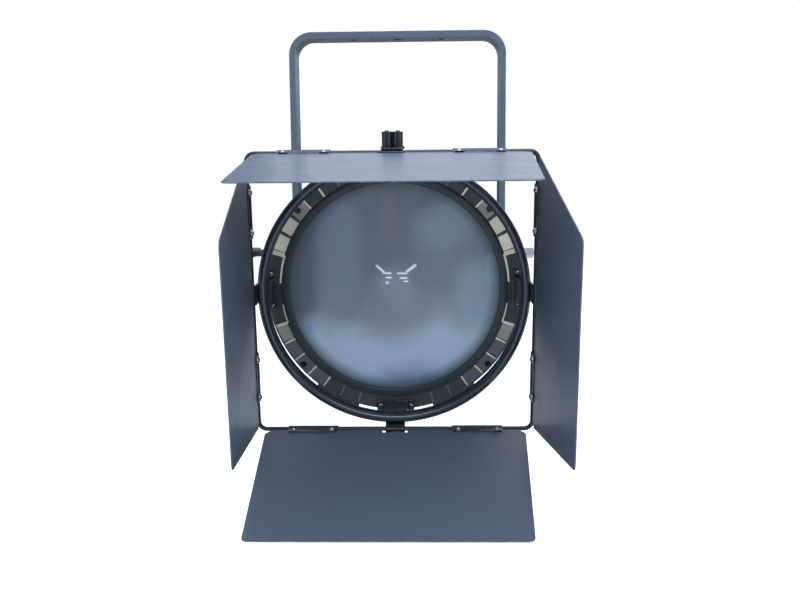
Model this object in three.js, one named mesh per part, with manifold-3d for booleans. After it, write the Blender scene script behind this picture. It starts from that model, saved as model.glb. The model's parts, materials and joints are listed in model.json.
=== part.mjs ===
// Fresnel spotlight on a hanging yoke, with a four-leaf barn door.
// Millimetres, +Z up, the lamp shines towards -Y, +X to the right as seen from the front.
// The origin is the centre of the yoke's upper face, on the axis of its hanging bolt.
import * as THREE from "three";
import { mergeVertices } from "three/addons/utils/BufferGeometryUtils.js";
import Module from "manifold-3d";

const wasm = await Module();
wasm.setup();

// ---- driving dimensions ----
const GAP = 0.3; // clearance between touching parts
const ROUND_SIDES = 44; // shared by nested rings, so that their flats stay parallel
const degrees = Math.PI / 180;

// yoke
const YOKE_HALF = 144.5; // middle of the lamp to the outer face of a leg
const YOKE_HEIGHT = 295; // tilt axis to the upper face of the bar
const BAR_WIDTH = 40;
const BAR_THICK = 8;
const YOKE_CORNER = 30; // outer radius of the two bends
const HANG_HOLE_PITCH = 59;
const HANG_HOLE_R = 6.5;
const SIDE_HOLE_R = 5.5;
const STUD_R = 5;
const STUD_HOLE_R = 5.8;

// head, measured backwards from the front plane of the barn-door ring
const TILT = 5.8 * degrees; // the head leans this far down at rest
const PIVOT_BACK = 268;
const BEZEL_FRONT = 31;
const BEZEL_BACK = 56;
const BEZEL_R = 144.5;
const BEZEL_BORE_R = 127;
const LUG_R = 149;
const LUG_FRONT = 37;
const RIB_PITCH = 9 * degrees;
const SIDE_HALF_ANGLE = 17 * degrees; // plain stretch of the bezel behind each side claw
const UPRIGHT_HALF_ANGLE = 11 * degrees; // and behind the latch and the bottom claw
const LENS_R = 125;
const LENS_SIGHT_R = 118.5; // free radius inside the retaining ring
const LENS_EDGE_FRONT = 37;
const LENS_EDGE_BACK = 43;
const BARREL_R = 126;
const WALL = 2.5;
const BARREL_BACK = 300;
const REAR_R = 130;
const REAR_BACK = 400;
const PANEL_R = 117.5;
const PANEL_THICK = 3;
const BOSS_R = 23.5;
const BOSS_FACE = 130.5;

// barn door
const RING_R = 150;
const RING_BORE_R = 140;
const RING_DEPTH = 14;
const ROD_R = 2.5;
const ROD_HALF = 153.5; // axis of the lamp to the middle of each hinge rod
const ROD_FRONT = 6.3; // hinge rods lie this far in front of the ring plane
const ROD_CORNER = 9;
const LEAF_LENGTH = 240;
const LEAF_THICK = 1.2;
const CLIP_LENGTH = 56;
const CLIP_OFFSET = 92;

// lamp carriage
const EMITTER_BACK = 165; // face of the emitter at rest
const RAIL_X = 95;
const RAIL_R = 4;
const SCREW_Z = -92;
const SINK_SIDE = 120;
const SINK_DEPTH = 60;
const FAN_DEPTH = 25;

// ---- materials ----
function paint(color, roughness, metalness) {
  return new THREE.MeshStandardMaterial({ color, roughness, metalness });
}
const slatePaint = paint(0x66727f, 0.5, 0.3);
const darkPaint = paint(0x22262a, 0.55, 0.2);
const blackPlastic = paint(0x191b1d, 0.6, 0);
const blackSteel = paint(0x1d2023, 0.4, 0.7);
const leafPaint = paint(0x59616c, 0.6, 0.3);
const castPaint = paint(0x3c4044, 0.6, 0.3);
const zincSteel = paint(0xb9b6a8, 0.35, 0.9);
const rawAluminium = paint(0xb4b8bb, 0.4, 0.9);
const frostedGlass = paint(0x8797a3, 0.3, 0);
const siliconeRubber = paint(0x2b2b2b, 0.9, 0);
const mirrorAluminium = paint(0xd8dadc, 0.12, 1);
const phosphor = paint(0xe6c95a, 0.6, 0);
const fibreDisc = paint(0x4a3b2e, 0.9, 0);

// ---- solids ----
// A three.js geometry as a manifold-3d solid, with its faces pointing outwards.
function solid(geometry) {
  const bare = geometry.clone();
  bare.deleteAttribute("normal");
  bare.deleteAttribute("uv");
  const merged = mergeVertices(bare, 1e-4);
  const made = new wasm.Manifold(
    new wasm.Mesh({
      numProp: 3,
      vertProperties: merged.attributes.position.array,
      triVerts: new Uint32Array(merged.index.array),
    }),
  );
  return made;
}

function geometryOf(body) {
  const mesh = body.getMesh();
  const geometry = new THREE.BufferGeometry();
  geometry.setAttribute("position", new THREE.BufferAttribute(mesh.vertProperties, 3));
  geometry.setIndex(new THREE.BufferAttribute(mesh.triVerts, 1));
  const flat = geometry.toNonIndexed();
  flat.computeVertexNormals();
  return flat;
}

function join(bodies) {
  return bodies.reduce((whole, body) => whole.add(body));
}

function cut(body, tools) {
  return tools.reduce((rest, tool) => rest.subtract(tool), body);
}

// A box between two corners, given as [x, y, z] each.
function box(low, high) {
  const size = high.map((value, axis) => value - low[axis]);
  const middle = high.map((value, axis) => (value + low[axis]) / 2);
  return solid(new THREE.BoxGeometry(...size).translate(...middle));
}

// A round bar along x, y or z from one end to the other, centred on the two other coordinates.
function bar(axis, radius, from, to, centre, sides = 20) {
  const geometry = new THREE.CylinderGeometry(radius, radius, to - from, sides);
  const middle = (from + to) / 2;
  if (axis === "x") {
    geometry.rotateZ(-Math.PI / 2).translate(middle, centre[0], centre[1]);
  } else if (axis === "y") {
    geometry.translate(centre[0], middle, centre[1]);
  } else {
    geometry.rotateX(Math.PI / 2).translate(centre[0], centre[1], middle);
  }
  return solid(geometry);
}

// A closed section of [radius, distance back] points, counter-clockwise, turned about the optical axis.
function turned(section, sides = ROUND_SIDES) {
  const points = section.map(([radius, back]) => new THREE.Vector2(radius, back));
  if (section[0][0] > 0) {
    points.push(points[0].clone());
  }
  return solid(new THREE.LatheGeometry(points, sides));
}

// A flat outline of [x, z] points in the XZ plane, thickened from one y to the other.
function slab(outline, from, to) {
  const geometry = new THREE.ExtrudeGeometry(outline, {
    depth: to - from,
    bevelEnabled: false,
    curveSegments: 8,
  });
  geometry.rotateX(Math.PI / 2).translate(0, to, 0);
  return solid(geometry);
}

function outlineOf(points) {
  return new THREE.Shape(points.map(([x, z]) => new THREE.Vector2(x, z)));
}

// ---- scene graph ----
const spotlight = new THREE.Group();

const head = new THREE.Group();
head.position.set(0, 0, -YOKE_HEIGHT);
head.rotation.x = TILT;
spotlight.add(head);

const optics = new THREE.Group(); // origin on the optical axis in the ring's front plane
optics.position.set(0, -PIVOT_BACK, 0);
head.add(optics);

function place(parent, name, body, material) {
  const mesh = new THREE.Mesh(geometryOf(body), material);
  mesh.name = name;
  parent.add(mesh);
}

// ---- yoke ----
function yokeBracket() {
  const inner = YOKE_HALF - BAR_THICK;
  const innerCorner = YOKE_CORNER - BAR_THICK;
  const foot = -YOKE_HEIGHT - BAR_WIDTH / 2;
  const outline = new THREE.Shape();
  outline.moveTo(-YOKE_HALF, foot);
  outline.lineTo(-inner, foot);
  outline.lineTo(-inner, -BAR_THICK - innerCorner);
  outline.absarc(-inner + innerCorner, -BAR_THICK - innerCorner, innerCorner, Math.PI, Math.PI / 2, true);
  outline.lineTo(inner - innerCorner, -BAR_THICK);
  outline.absarc(inner - innerCorner, -BAR_THICK - innerCorner, innerCorner, Math.PI / 2, 0, true);
  outline.lineTo(inner, foot);
  outline.lineTo(YOKE_HALF, foot);
  outline.lineTo(YOKE_HALF, -YOKE_CORNER);
  outline.absarc(YOKE_HALF - YOKE_CORNER, -YOKE_CORNER, YOKE_CORNER, 0, Math.PI / 2, false);
  outline.lineTo(-YOKE_HALF + YOKE_CORNER, 0);
  outline.absarc(-YOKE_HALF + YOKE_CORNER, -YOKE_CORNER, YOKE_CORNER, Math.PI / 2, Math.PI, false);
  const bent = slab(outline, -BAR_WIDTH / 2, BAR_WIDTH / 2);
  const footRound = bar("x", BAR_WIDTH / 2, -YOKE_HALF - 1, YOKE_HALF + 1, [0, -YOKE_HEIGHT], 32);
  const aboveFoot = box(
    [-YOKE_HALF - 1, -BAR_WIDTH / 2, -YOKE_HEIGHT],
    [YOKE_HALF + 1, BAR_WIDTH / 2, 1],
  );
  const holes = [
    bar("x", STUD_HOLE_R, -YOKE_HALF - 1, YOKE_HALF + 1, [0, -YOKE_HEIGHT], 16),
    bar("z", HANG_HOLE_R, -BAR_THICK - 1, 1, [0, 0]),
    bar("z", SIDE_HOLE_R, -BAR_THICK - 1, 1, [-HANG_HOLE_PITCH, 0]),
    bar("z", SIDE_HOLE_R, -BAR_THICK - 1, 1, [HANG_HOLE_PITCH, 0]),
  ];
  return cut(bent.intersect(footRound.add(aboveFoot)), holes);
}

function frictionDisc(side) {
  const inner = BOSS_FACE + GAP;
  const outer = YOKE_HALF - BAR_THICK - GAP;
  const ends = [side * inner, side * outer].sort((a, b) => a - b);
  const disc = bar("x", 22, ends[0], ends[1], [0, 0], 28);
  return disc.subtract(bar("x", 6, ends[0] - 1, ends[1] + 1, [0, 0], 16));
}

// A T-bar on a thin neck, so that it is turned beside the leaves.
function tiltLockHandle() {
  const legFace = -YOKE_HALF - GAP;
  const gripInner = -200;
  const gripOuter = gripInner - 15;
  const gripHalf = 38;
  return join([
    bar("x", STUD_R, gripInner - 1, -BARREL_R - 1, [0, 0], 16),
    bar("x", 15, legFace - 8, legFace, [0, 0], 24),
    bar("x", 9, legFace - 20, legFace - 7, [0, 0], 20),
    box([gripOuter, -gripHalf, -5.5], [gripInner, gripHalf, 5.5]),
  ]);
}

function tensionNut() {
  const legFace = YOKE_HALF + GAP;
  const sleeve = bar("x", 12, legFace, legFace + 27, [0, 0], 24);
  const hexagon = bar("x", 9.8, legFace + 26, legFace + 40, [0, 0], 6);
  return sleeve.add(hexagon).subtract(bar("x", STUD_R + GAP, legFace - 1, legFace + 41, [0, 0], 16));
}

place(spotlight, "yoke_bracket", yokeBracket(), slatePaint);
place(head, "friction_disc_left", frictionDisc(-1), fibreDisc);
place(head, "friction_disc_right", frictionDisc(1), fibreDisc);

const pivot = new THREE.Group(); // hardware that stays with the yoke, on the tilt axis
pivot.position.set(0, 0, -YOKE_HEIGHT);
spotlight.add(pivot);
place(pivot, "tilt_lock_handle", tiltLockHandle(), blackPlastic);
place(pivot, "pivot_bolt", bar("x", STUD_R, BARREL_R + 1, YOKE_HALF + 43, [0, 0], 16), zincSteel);
place(pivot, "tension_nut", tensionNut(), zincSteel);

// ---- front of the head ----
function frontBezel() {
  const ring = turned([
    [BEZEL_BORE_R, BEZEL_FRONT],
    [BEZEL_R - 2, BEZEL_FRONT],
    [BEZEL_R, BEZEL_FRONT + 2],
    [BEZEL_R, BEZEL_BACK],
    [LENS_SIGHT_R + 0.5, BEZEL_BACK],
    [LENS_SIGHT_R + 0.5, BEZEL_FRONT + 15],
    [BEZEL_BORE_R, BEZEL_FRONT + 15],
  ]);
  const ribInner = BEZEL_BORE_R + 2;
  const ribOuter = BEZEL_R - 3;
  const ribs = [];
  for (let angle = 0; angle < 2 * Math.PI - RIB_PITCH / 2; angle += RIB_PITCH) {
    const fromUpright = Math.abs(((angle + Math.PI / 2) % Math.PI) - Math.PI / 2);
    const fromLevel = Math.PI / 2 - fromUpright;
    if (fromUpright > UPRIGHT_HALF_ANGLE && fromLevel > SIDE_HALF_ANGLE) {
      const rib = new THREE.BoxGeometry(1.2, 2.5, ribOuter - ribInner);
      rib.translate(0, BEZEL_FRONT - 0.25, (ribOuter + ribInner) / 2);
      ribs.push(solid(rib.rotateY(angle)));
    }
  }
  return join([ring, rimLug(-1), rimLug(1), ...ribs]);
}

// Stiffening lug on the rim, below and to one side; it stands out nearly as far as the barn-door ring.
function rimLug(side) {
  const from = -90 * degrees + side * 17 * degrees;
  const to = -90 * degrees + side * 38 * degrees;
  const outline = new THREE.Shape();
  outline.absarc(0, 0, LUG_R, from, to, side < 0);
  outline.absarc(0, 0, BEZEL_R - 2, to, from, side > 0);
  return slab(outline, LUG_FRONT, LUG_FRONT + 10);
}

function lensRetainingRing() {
  return turned([
    [LENS_SIGHT_R, 28.5],
    [BEZEL_BORE_R - GAP, 28.5],
    [BEZEL_BORE_R - GAP, LENS_EDGE_FRONT - GAP],
    [LENS_SIGHT_R + 1.5, LENS_EDGE_FRONT - GAP],
  ]);
}

function lensGasket() {
  return turned([
    [LENS_SIGHT_R + 1.5, LENS_EDGE_BACK + GAP],
    [BEZEL_BORE_R - GAP, LENS_EDGE_BACK + GAP],
    [BEZEL_BORE_R - GAP, BEZEL_FRONT + 15 - GAP],
    [LENS_SIGHT_R + 1.5, BEZEL_FRONT + 15 - GAP],
  ], ROUND_SIDES / 2);
}

// Smooth, slightly domed front; the fresnel steps are on the back.
function fresnelLens() {
  const section = [
    [0, LENS_EDGE_FRONT - 4],
    [70, LENS_EDGE_FRONT - 2.6],
    [LENS_SIGHT_R, LENS_EDGE_FRONT],
    [LENS_R, LENS_EDGE_FRONT],
    [LENS_R, LENS_EDGE_BACK],
    [LENS_SIGHT_R - 1, LENS_EDGE_BACK],
  ];
  const steps = 5;
  const stepWidth = (LENS_SIGHT_R - 1) / steps;
  for (let index = steps - 1; index > 0; index -= 1) {
    section.push([stepWidth * index, LENS_EDGE_BACK + 4]);
    section.push([stepWidth * index - 0.4, LENS_EDGE_BACK]);
  }
  section.push([0, LENS_EDGE_BACK + 4]);
  return turned(section);
}

// A hook plate on the bezel that holds the ring from inside its channel, drawn at the top of the ring.
const HOOK_LOW = 134.5;
const HOOK_HIGH = 143.5;
const HOOK_FRONT = 5.5;
const CLAW_R = 138; // optical axis to the screws of a claw
const CLAW_SCREW_X = 17.5;
const BUMPER_R = 4;
function hook(halfWidth, back) {
  return join([
    box([-halfWidth, HOOK_FRONT, HOOK_LOW], [halfWidth, back, HOOK_LOW + 3]),
    box([-halfWidth, HOOK_FRONT, HOOK_LOW], [halfWidth, HOOK_FRONT + 2.5, HOOK_HIGH]),
  ]);
}

// The two bumpers behind the ring keep it from tipping.
function claw() {
  const back = BEZEL_FRONT - GAP;
  const front = back - 2;
  const lug = 5.5;
  const bumperZ = CLAW_R + BUMPER_R;
  const screws = [-CLAW_SCREW_X, CLAW_SCREW_X];
  return join([
    hook(CLAW_SCREW_X - BUMPER_R, back),
    box([-CLAW_SCREW_X, front, CLAW_R - lug], [CLAW_SCREW_X, back, CLAW_R + lug]),
    ...screws.map((x) => bar("y", lug, front, back, [x, CLAW_R], 16)),
    ...screws.map((x) => bar("y", BUMPER_R, RING_DEPTH + 1, back, [x, bumperZ], 16)),
  ]);
}

// Spring latch at the top: two plungers through a housing carry the fourth hook.
const PLUNGER_X = 6;
const PLUNGER_BACK = 26;
const LATCH_TOP = 174;
const PLUNGER_R = 2.4;
function plungerPair(radius, from, to) {
  return [-PLUNGER_X, PLUNGER_X].map((x) => bar("z", radius, from, to, [x, PLUNGER_BACK], 14));
}

function latchHousing() {
  const floor = BEZEL_R + GAP;
  const body = box([-11.5, 20, floor], [11.5, BEZEL_FRONT, LATCH_TOP]);
  const base = box([-11.5, BEZEL_FRONT - 1, floor], [11.5, BEZEL_BACK - 2, floor + 4]);
  const groove = box([-0.8, 19, floor + 6], [0.8, 21.5, LATCH_TOP + 1]);
  return cut(join([body, base]), [...plungerPair(PLUNGER_R + GAP, floor - 1, LATCH_TOP + 1), groove]);
}

function latchHook() {
  return join([hook(9.5, PLUNGER_BACK + 3), ...plungerPair(PLUNGER_R, HOOK_LOW, LATCH_TOP + 1)]);
}

place(optics, "front_bezel", frontBezel(), castPaint);
place(optics, "lens_retaining_ring", lensRetainingRing(), blackPlastic);
place(optics, "lens_gasket", lensGasket(), siliconeRubber);
place(optics, "fresnel_lens", fresnelLens(), frostedGlass);
place(optics, "latch_housing", latchHousing(), darkPaint);
place(optics, "latch_hook", latchHook(), blackSteel);
const clawTurns = { right: 90, bottom: 180, left: 270 };
for (const [side, turn] of Object.entries(clawTurns)) {
  const holder = new THREE.Group();
  holder.rotation.y = turn * degrees;
  optics.add(holder);
  place(holder, `claw_${side}`, claw(), blackSteel);
}

// ---- housing ----
function barrel() {
  const front = BEZEL_BACK + GAP;
  const inside = BARREL_R - WALL;
  return turned([
    [inside, front],
    [BARREL_R + 6, front],
    [BARREL_R + 6, front + 5],
    [BARREL_R, front + 8],
    [BARREL_R, BARREL_BACK - 8],
    [BARREL_R + 3, BARREL_BACK - 8],
    [BARREL_R + 3, BARREL_BACK],
    [inside, BARREL_BACK],
  ]);
}

function pivotBoss(side) {
  const ends = [side * (BARREL_R - 12), side * BOSS_FACE].sort((a, b) => a - b);
  const block = bar("x", BOSS_R, ends[0], ends[1], [PIVOT_BACK, 0], 32);
  const skin = turned([[0, 200], [BARREL_R + GAP, 200], [BARREL_R + GAP, 330], [0, 330]]);
  const hole = bar("x", STUD_HOLE_R, ends[0] - 1, ends[1] + 1, [PIVOT_BACK, 0], 16);
  return cut(block, [skin, hole]);
}

function rearHousing() {
  const front = BARREL_BACK + GAP;
  const back = REAR_BACK + GAP;
  const mouth = PANEL_R + GAP;
  const shell = turned([
    [REAR_R - 3, front],
    [REAR_R, front],
    [REAR_R, REAR_BACK - 28],
    [mouth + 3, back],
    [mouth, back],
    [mouth, REAR_BACK - 6],
    [REAR_R - 3, REAR_BACK - 30],
  ]);
  const slots = [];
  const slotCount = 20;
  for (let index = 0; index < slotCount; index += 1) {
    const slot = new THREE.BoxGeometry(6, 46, 12);
    slot.translate(0, REAR_BACK - 60, REAR_R);
    slots.push(solid(slot.rotateY((2 * Math.PI * (index + 0.5)) / slotCount)));
  }
  return cut(shell, slots);
}

place(optics, "barrel", barrel(), darkPaint);
place(optics, "pivot_boss_left", pivotBoss(-1), castPaint);
place(optics, "pivot_boss_right", pivotBoss(1), castPaint);
place(optics, "rear_housing", rearHousing(), blackPlastic);

// ---- rear panel and controls, each place as [x, z] on the panel ----
const panelFront = REAR_BACK - PANEL_THICK;
const DISPLAY_AT = [0, 50];
const DISPLAY_SIZE = [70, 34];
const BUTTON_PLACES = [[-24, 14], [0, 14], [24, 14]];
const BUTTON_R = 5;
const DIAL_AT = [66, 8];
const DIAL_R = 13;
const SWITCH_AT = [-68, 6];
const SWITCH_SIZE = [14, 22];
const INLET_AT = [-52, -58];
const INLET_SIZE = [30, 24];
const SOCKET_PLACES = { in: [38, -60], out: [74, -42] };
const SOCKET_R = 12;

function plaque([x, z], [width, height], from, to) {
  return box([x - width / 2, from, z - height / 2], [x + width / 2, to, z + height / 2]);
}

function grown(size, margin) {
  return size.map((value) => value + 2 * margin);
}

function rearPanel() {
  const disc = turned([
    [0, panelFront],
    [PANEL_R, panelFront],
    [PANEL_R, REAR_BACK],
    [0, REAR_BACK],
  ]);
  const through = [panelFront - 1, REAR_BACK + 1];
  const openings = [
    plaque(DISPLAY_AT, grown(DISPLAY_SIZE, GAP), ...through),
    plaque(SWITCH_AT, grown(SWITCH_SIZE, GAP), ...through),
    plaque(INLET_AT, grown(INLET_SIZE, GAP), ...through),
    bar("y", 4, ...through, DIAL_AT, 14),
    bar("y", 5.5, ...through, [0, SCREW_Z], 16),
    ...BUTTON_PLACES.map((at) => bar("y", BUTTON_R + GAP, ...through, at, 18)),
    ...Object.values(SOCKET_PLACES).map((at) => bar("y", SOCKET_R + GAP, ...through, at, 24)),
  ];
  return cut(disc, openings);
}

function powerInlet() {
  const shell = plaque(INLET_AT, INLET_SIZE, panelFront - 14, REAR_BACK);
  const flange = plaque(INLET_AT, grown(INLET_SIZE, 4), REAR_BACK + GAP, REAR_BACK + 2.5);
  const neck = plaque(INLET_AT, INLET_SIZE, REAR_BACK - 1, REAR_BACK + 1);
  const well = plaque(INLET_AT, grown(INLET_SIZE, -3), REAR_BACK - 11, REAR_BACK + 3);
  const pins = [-7, 0, 7].map((x, index) =>
    plaque([INLET_AT[0] + x, INLET_AT[1] + (index === 1 ? 3 : -2)], [2, 5], REAR_BACK - 12, REAR_BACK - 2),
  );
  return join([cut(join([shell, flange, neck]), [well]), ...pins]);
}

function dataSocket([x, z]) {
  const sleeve = bar("y", SOCKET_R, panelFront - 16, REAR_BACK + 1, [x, z], 24);
  const flange = plaque([x, z], [28, 28], REAR_BACK + GAP, REAR_BACK + 2.5);
  const well = bar("y", SOCKET_R - 3, REAR_BACK - 12, REAR_BACK + 3, [x, z], 24);
  return cut(join([sleeve, flange]), [well]);
}

function menuButton(at) {
  const cap = bar("y", BUTTON_R, panelFront, REAR_BACK + 2.5, at, 18);
  const foot = bar("y", BUTTON_R + 1.5, panelFront - 1.8, panelFront - GAP, at, 18);
  const neck = bar("y", BUTTON_R, panelFront - 1, panelFront + 1, at, 18);
  return join([cap, foot, neck]);
}

function dialKnob() {
  const grip = bar("y", DIAL_R, REAR_BACK + 0.6, REAR_BACK + 15, DIAL_AT, 20);
  return join([grip, bar("y", 3.2, panelFront - 8, REAR_BACK + 2, DIAL_AT, 14)]);
}

// The rocker is a wedge pair that turns on a pin along x through the panel.
function powerSwitch() {
  const [x, z] = SWITCH_AT;
  const [width, height] = SWITCH_SIZE;
  const half = height / 2 - 1;
  const profile = outlineOf([
    [REAR_BACK - 8, z - 3],
    [REAR_BACK + 1, z - half],
    [REAR_BACK + 3.4, z - half],
    [REAR_BACK + 1.2, z],
    [REAR_BACK + 1.2, z + half],
    [REAR_BACK - 1, z + half],
    [REAR_BACK - 8, z + 3],
  ]);
  const geometry = new THREE.ExtrudeGeometry(profile, { depth: width - 2, bevelEnabled: false });
  // shape (y, z) plane onto the part's YZ plane, thickness along x
  const turn = new THREE.Matrix4().makeBasis(
    new THREE.Vector3(0, 1, 0),
    new THREE.Vector3(0, 0, 1),
    new THREE.Vector3(1, 0, 0),
  );
  return solid(geometry.applyMatrix4(turn).translate(x - width / 2 + 1, 0, 0));
}

place(optics, "rear_panel", rearPanel(), darkPaint);
place(optics, "display_window", plaque(DISPLAY_AT, DISPLAY_SIZE, panelFront, REAR_BACK), blackPlastic);
BUTTON_PLACES.forEach((at, index) => {
  place(optics, `menu_button_${index + 1}`, menuButton(at), blackPlastic);
});
place(optics, "dial_knob", dialKnob(), blackPlastic);
place(optics, "power_switch", powerSwitch(), blackPlastic);
place(optics, "power_inlet", powerInlet(), blackPlastic);
for (const [use, at] of Object.entries(SOCKET_PLACES)) {
  place(optics, `data_socket_${use}`, dataSocket(at), zincSteel);
}

function powerSupply() {
  return box([-75, BARREL_BACK + 6, 24], [75, REAR_BACK - 24, 88]);
}
place(optics, "power_supply", powerSupply(), rawAluminium);

// ---- focusing carriage inside the barrel ----
const RAIL_PLATE_THICK = 3;
function railPlate(from) {
  const ring = turned([
    [88, from],
    [BARREL_R - WALL - GAP, from],
    [BARREL_R - WALL - GAP, from + RAIL_PLATE_THICK],
    [88, from + RAIL_PLATE_THICK],
  ], ROUND_SIDES / 2);
  const holes = [-RAIL_X, RAIL_X].map((x) => bar("y", RAIL_R + GAP, from - 1, from + 4, [x, 0], 16));
  holes.push(bar("y", RAIL_R + 0.5, from - 1, from + 4, [0, SCREW_Z], 16));
  return cut(ring, holes);
}

function lampCarriage() {
  const from = EMITTER_BACK + 4;
  const to = from + 4;
  const bushes = [-RAIL_X, RAIL_X].map((x) => bar("y", 9, from - 10, to + 10, [x, 0], 20));
  const holes = [-RAIL_X, RAIL_X].map((x) => bar("y", RAIL_R + GAP, from - 11, to + 11, [x, 0], 16));
  const plate = box([-RAIL_X, from, -66], [RAIL_X, to, 66]);
  const tongue = box([-16, from, SCREW_Z - 12], [16, to, -60]);
  const nut = bar("y", 10, from - 8, to + 8, [0, SCREW_Z], 20);
  holes.push(bar("y", RAIL_R + 0.5, from - 11, to + 11, [0, SCREW_Z], 16));
  return cut(join([plate, tongue, nut, ...bushes]), holes);
}

function heatSink() {
  const front = EMITTER_BACK + 8 + GAP;
  const half = SINK_SIDE / 2;
  const base = box([-half, front, -half], [half, front + 8, half]);
  const finCount = 13;
  const pitch = (SINK_SIDE - 2) / (finCount - 1);
  const fins = [];
  for (let index = 0; index < finCount; index += 1) {
    const x = -half + index * pitch;
    fins.push(box([x, front + 7, -half], [x + 2, front + SINK_DEPTH, half]));
  }
  return join([base, ...fins]);
}

function ledBoard() {
  const back = EMITTER_BACK + 4 - GAP;
  const board = box([-32, back - 2, -32], [32, back, 32]);
  return board.add(bar("y", 17, EMITTER_BACK, back - 1, [0, 0], 24));
}

function reflector() {
  const back = EMITTER_BACK + 1;
  return turned([
    [19, back],
    [46, back - 34],
    [47.5, back - 34],
    [21, back],
  ], 32);
}

const fanFront = EMITTER_BACK + 8 + GAP + SINK_DEPTH + GAP;
function fanFrame() {
  const half = SINK_SIDE / 2;
  const frame = box([-half, fanFront, -half], [half, fanFront + FAN_DEPTH, half]);
  const throat = bar("y", 57, fanFront - 1, fanFront + FAN_DEPTH + 1, [0, 0], 36);
  const hub = bar("y", 20, fanFront + FAN_DEPTH - 3, fanFront + FAN_DEPTH, [0, 0], 20);
  const strutSpan = [fanFront + FAN_DEPTH - 3, fanFront + FAN_DEPTH];
  const struts = [
    box([-58, strutSpan[0], -2.5], [58, strutSpan[1], 2.5]),
    box([-2.5, strutSpan[0], -58], [2.5, strutSpan[1], 58]),
  ];
  return join([cut(frame, [throat]), hub, ...struts]);
}

function fanRotor() {
  const from = fanFront + 2;
  const to = fanFront + FAN_DEPTH - 4;
  const blades = [];
  const bladeCount = 7;
  for (let index = 0; index < bladeCount; index += 1) {
    const blade = new THREE.BoxGeometry(20, 1.6, 38);
    blade.rotateZ(35 * degrees).translate(0, (from + to) / 2, 35);
    blades.push(solid(blade.rotateY((2 * Math.PI * index) / bladeCount)));
  }
  return join([bar("y", 19, from, to, [0, 0], 20), ...blades]);
}

const plateFronts = { front: BEZEL_BACK + 1.5, rear: BARREL_BACK - 5 };
for (const [end, from] of Object.entries(plateFronts)) {
  place(optics, `rail_plate_${end}`, railPlate(from), rawAluminium);
}
for (const [side, x] of [["left", -RAIL_X], ["right", RAIL_X]]) {
  const rail = bar("y", RAIL_R, plateFronts.front, BARREL_BACK - 2, [x, 0], 16);
  place(optics, `focus_rail_${side}`, rail, zincSteel);
}
place(optics, "focus_screw", bar("y", RAIL_R, plateFronts.front, REAR_BACK + 8, [0, SCREW_Z], 16), zincSteel);

function focusKnob() {
  const from = REAR_BACK + 1.5;
  const grip = bar("y", 18, from, from + 20, [0, SCREW_Z], 20);
  return grip.subtract(bar("y", RAIL_R + GAP, from - 1, REAR_BACK + 8 + GAP, [0, SCREW_Z], 16));
}
place(optics, "focus_knob", focusKnob(), blackPlastic);
place(optics, "lamp_carriage", lampCarriage(), rawAluminium);
place(optics, "heat_sink", heatSink(), rawAluminium);
place(optics, "led_board", ledBoard(), phosphor);
place(optics, "reflector", reflector(), mirrorAluminium);
place(optics, "fan_frame", fanFrame(), blackPlastic);
place(optics, "fan_rotor", fanRotor(), blackPlastic);

// ---- barn door: everything below turns with the ring about the optical axis ----
const door = new THREE.Group();
optics.add(door);

// Channel section, open towards the axis, with a domed front.
function barndoorRing() {
  const domeSteps = 8;
  const domeHigh = 4.5;
  const middle = (RING_R + RING_BORE_R) / 2;
  const halfWidth = (RING_R - RING_BORE_R) / 2;
  const section = [];
  for (let step = 0; step <= domeSteps; step += 1) {
    const angle = (Math.PI * step) / domeSteps;
    section.push([middle - halfWidth * Math.cos(angle), domeHigh * (1 - Math.sin(angle))]);
  }
  section.push(
    [RING_R, RING_DEPTH],
    [RING_BORE_R, RING_DEPTH],
    [RING_BORE_R, RING_DEPTH - 2],
    [RING_R - 2, RING_DEPTH - 2],
    [RING_R - 2, domeHigh],
    [RING_BORE_R, domeHigh + 0.5],
  );
  return turned(section, 52);
}

// A centre line given by its stations, so that a sweep has one section at each of them.
class StationPath extends THREE.Curve {
  constructor(stations) {
    super();
    this.stations = stations;
  }

  stationAt(share) {
    return this.stations[Math.round(share * (this.stations.length - 1))];
  }

  getPointAt(share) {
    return this.stationAt(share).point.clone();
  }

  getTangentAt(share) {
    return this.stationAt(share).tangent.clone();
  }
}

// One round rod bent into a square through the middle of each hinge, its ends butted inside a ferrule.
const FERRULE_AT = 40;
const FERRULE_HALF = 6;
const FERRULE_WALL = 0.6;
const BUTT_GAP = 0.5;
function rodFrame() {
  const straight = ROD_HALF - ROD_CORNER;
  const bendSteps = 5;
  const sectionSides = 8;
  const station = (x, z, alongX, alongZ) => ({
    point: new THREE.Vector3(x, -ROD_FRONT, z),
    tangent: new THREE.Vector3(alongX, 0, alongZ),
  });
  const stations = [station(FERRULE_AT + BUTT_GAP / 2, -ROD_HALF, 1, 0)];
  for (let corner = 0; corner < 4; corner += 1) {
    const middle = new THREE.Vector2(straight, -straight);
    middle.rotateAround(new THREE.Vector2(), (corner * Math.PI) / 2);
    for (let step = 0; step <= bendSteps; step += 1) {
      const angle = (Math.PI / 2) * (corner - 1 + step / bendSteps);
      const [along, across] = [Math.cos(angle), Math.sin(angle)];
      stations.push(station(middle.x + ROD_CORNER * along, middle.y + ROD_CORNER * across, -across, along));
    }
  }
  stations.push(station(FERRULE_AT - BUTT_GAP / 2, -ROD_HALF, 1, 0));
  const section = new THREE.Shape();
  section.absarc(0, 0, ROD_R, 0, 2 * Math.PI, false);
  const rod = new THREE.ExtrudeGeometry(section, {
    steps: stations.length - 1,
    curveSegments: sectionSides,
    extrudePath: new StationPath(stations),
  });
  const span = [FERRULE_AT - FERRULE_HALF, FERRULE_AT + FERRULE_HALF];
  return solid(rod).add(bar("x", ROD_R + FERRULE_WALL, ...span, [-ROD_FRONT, -ROD_HALF], 12));
}

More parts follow.
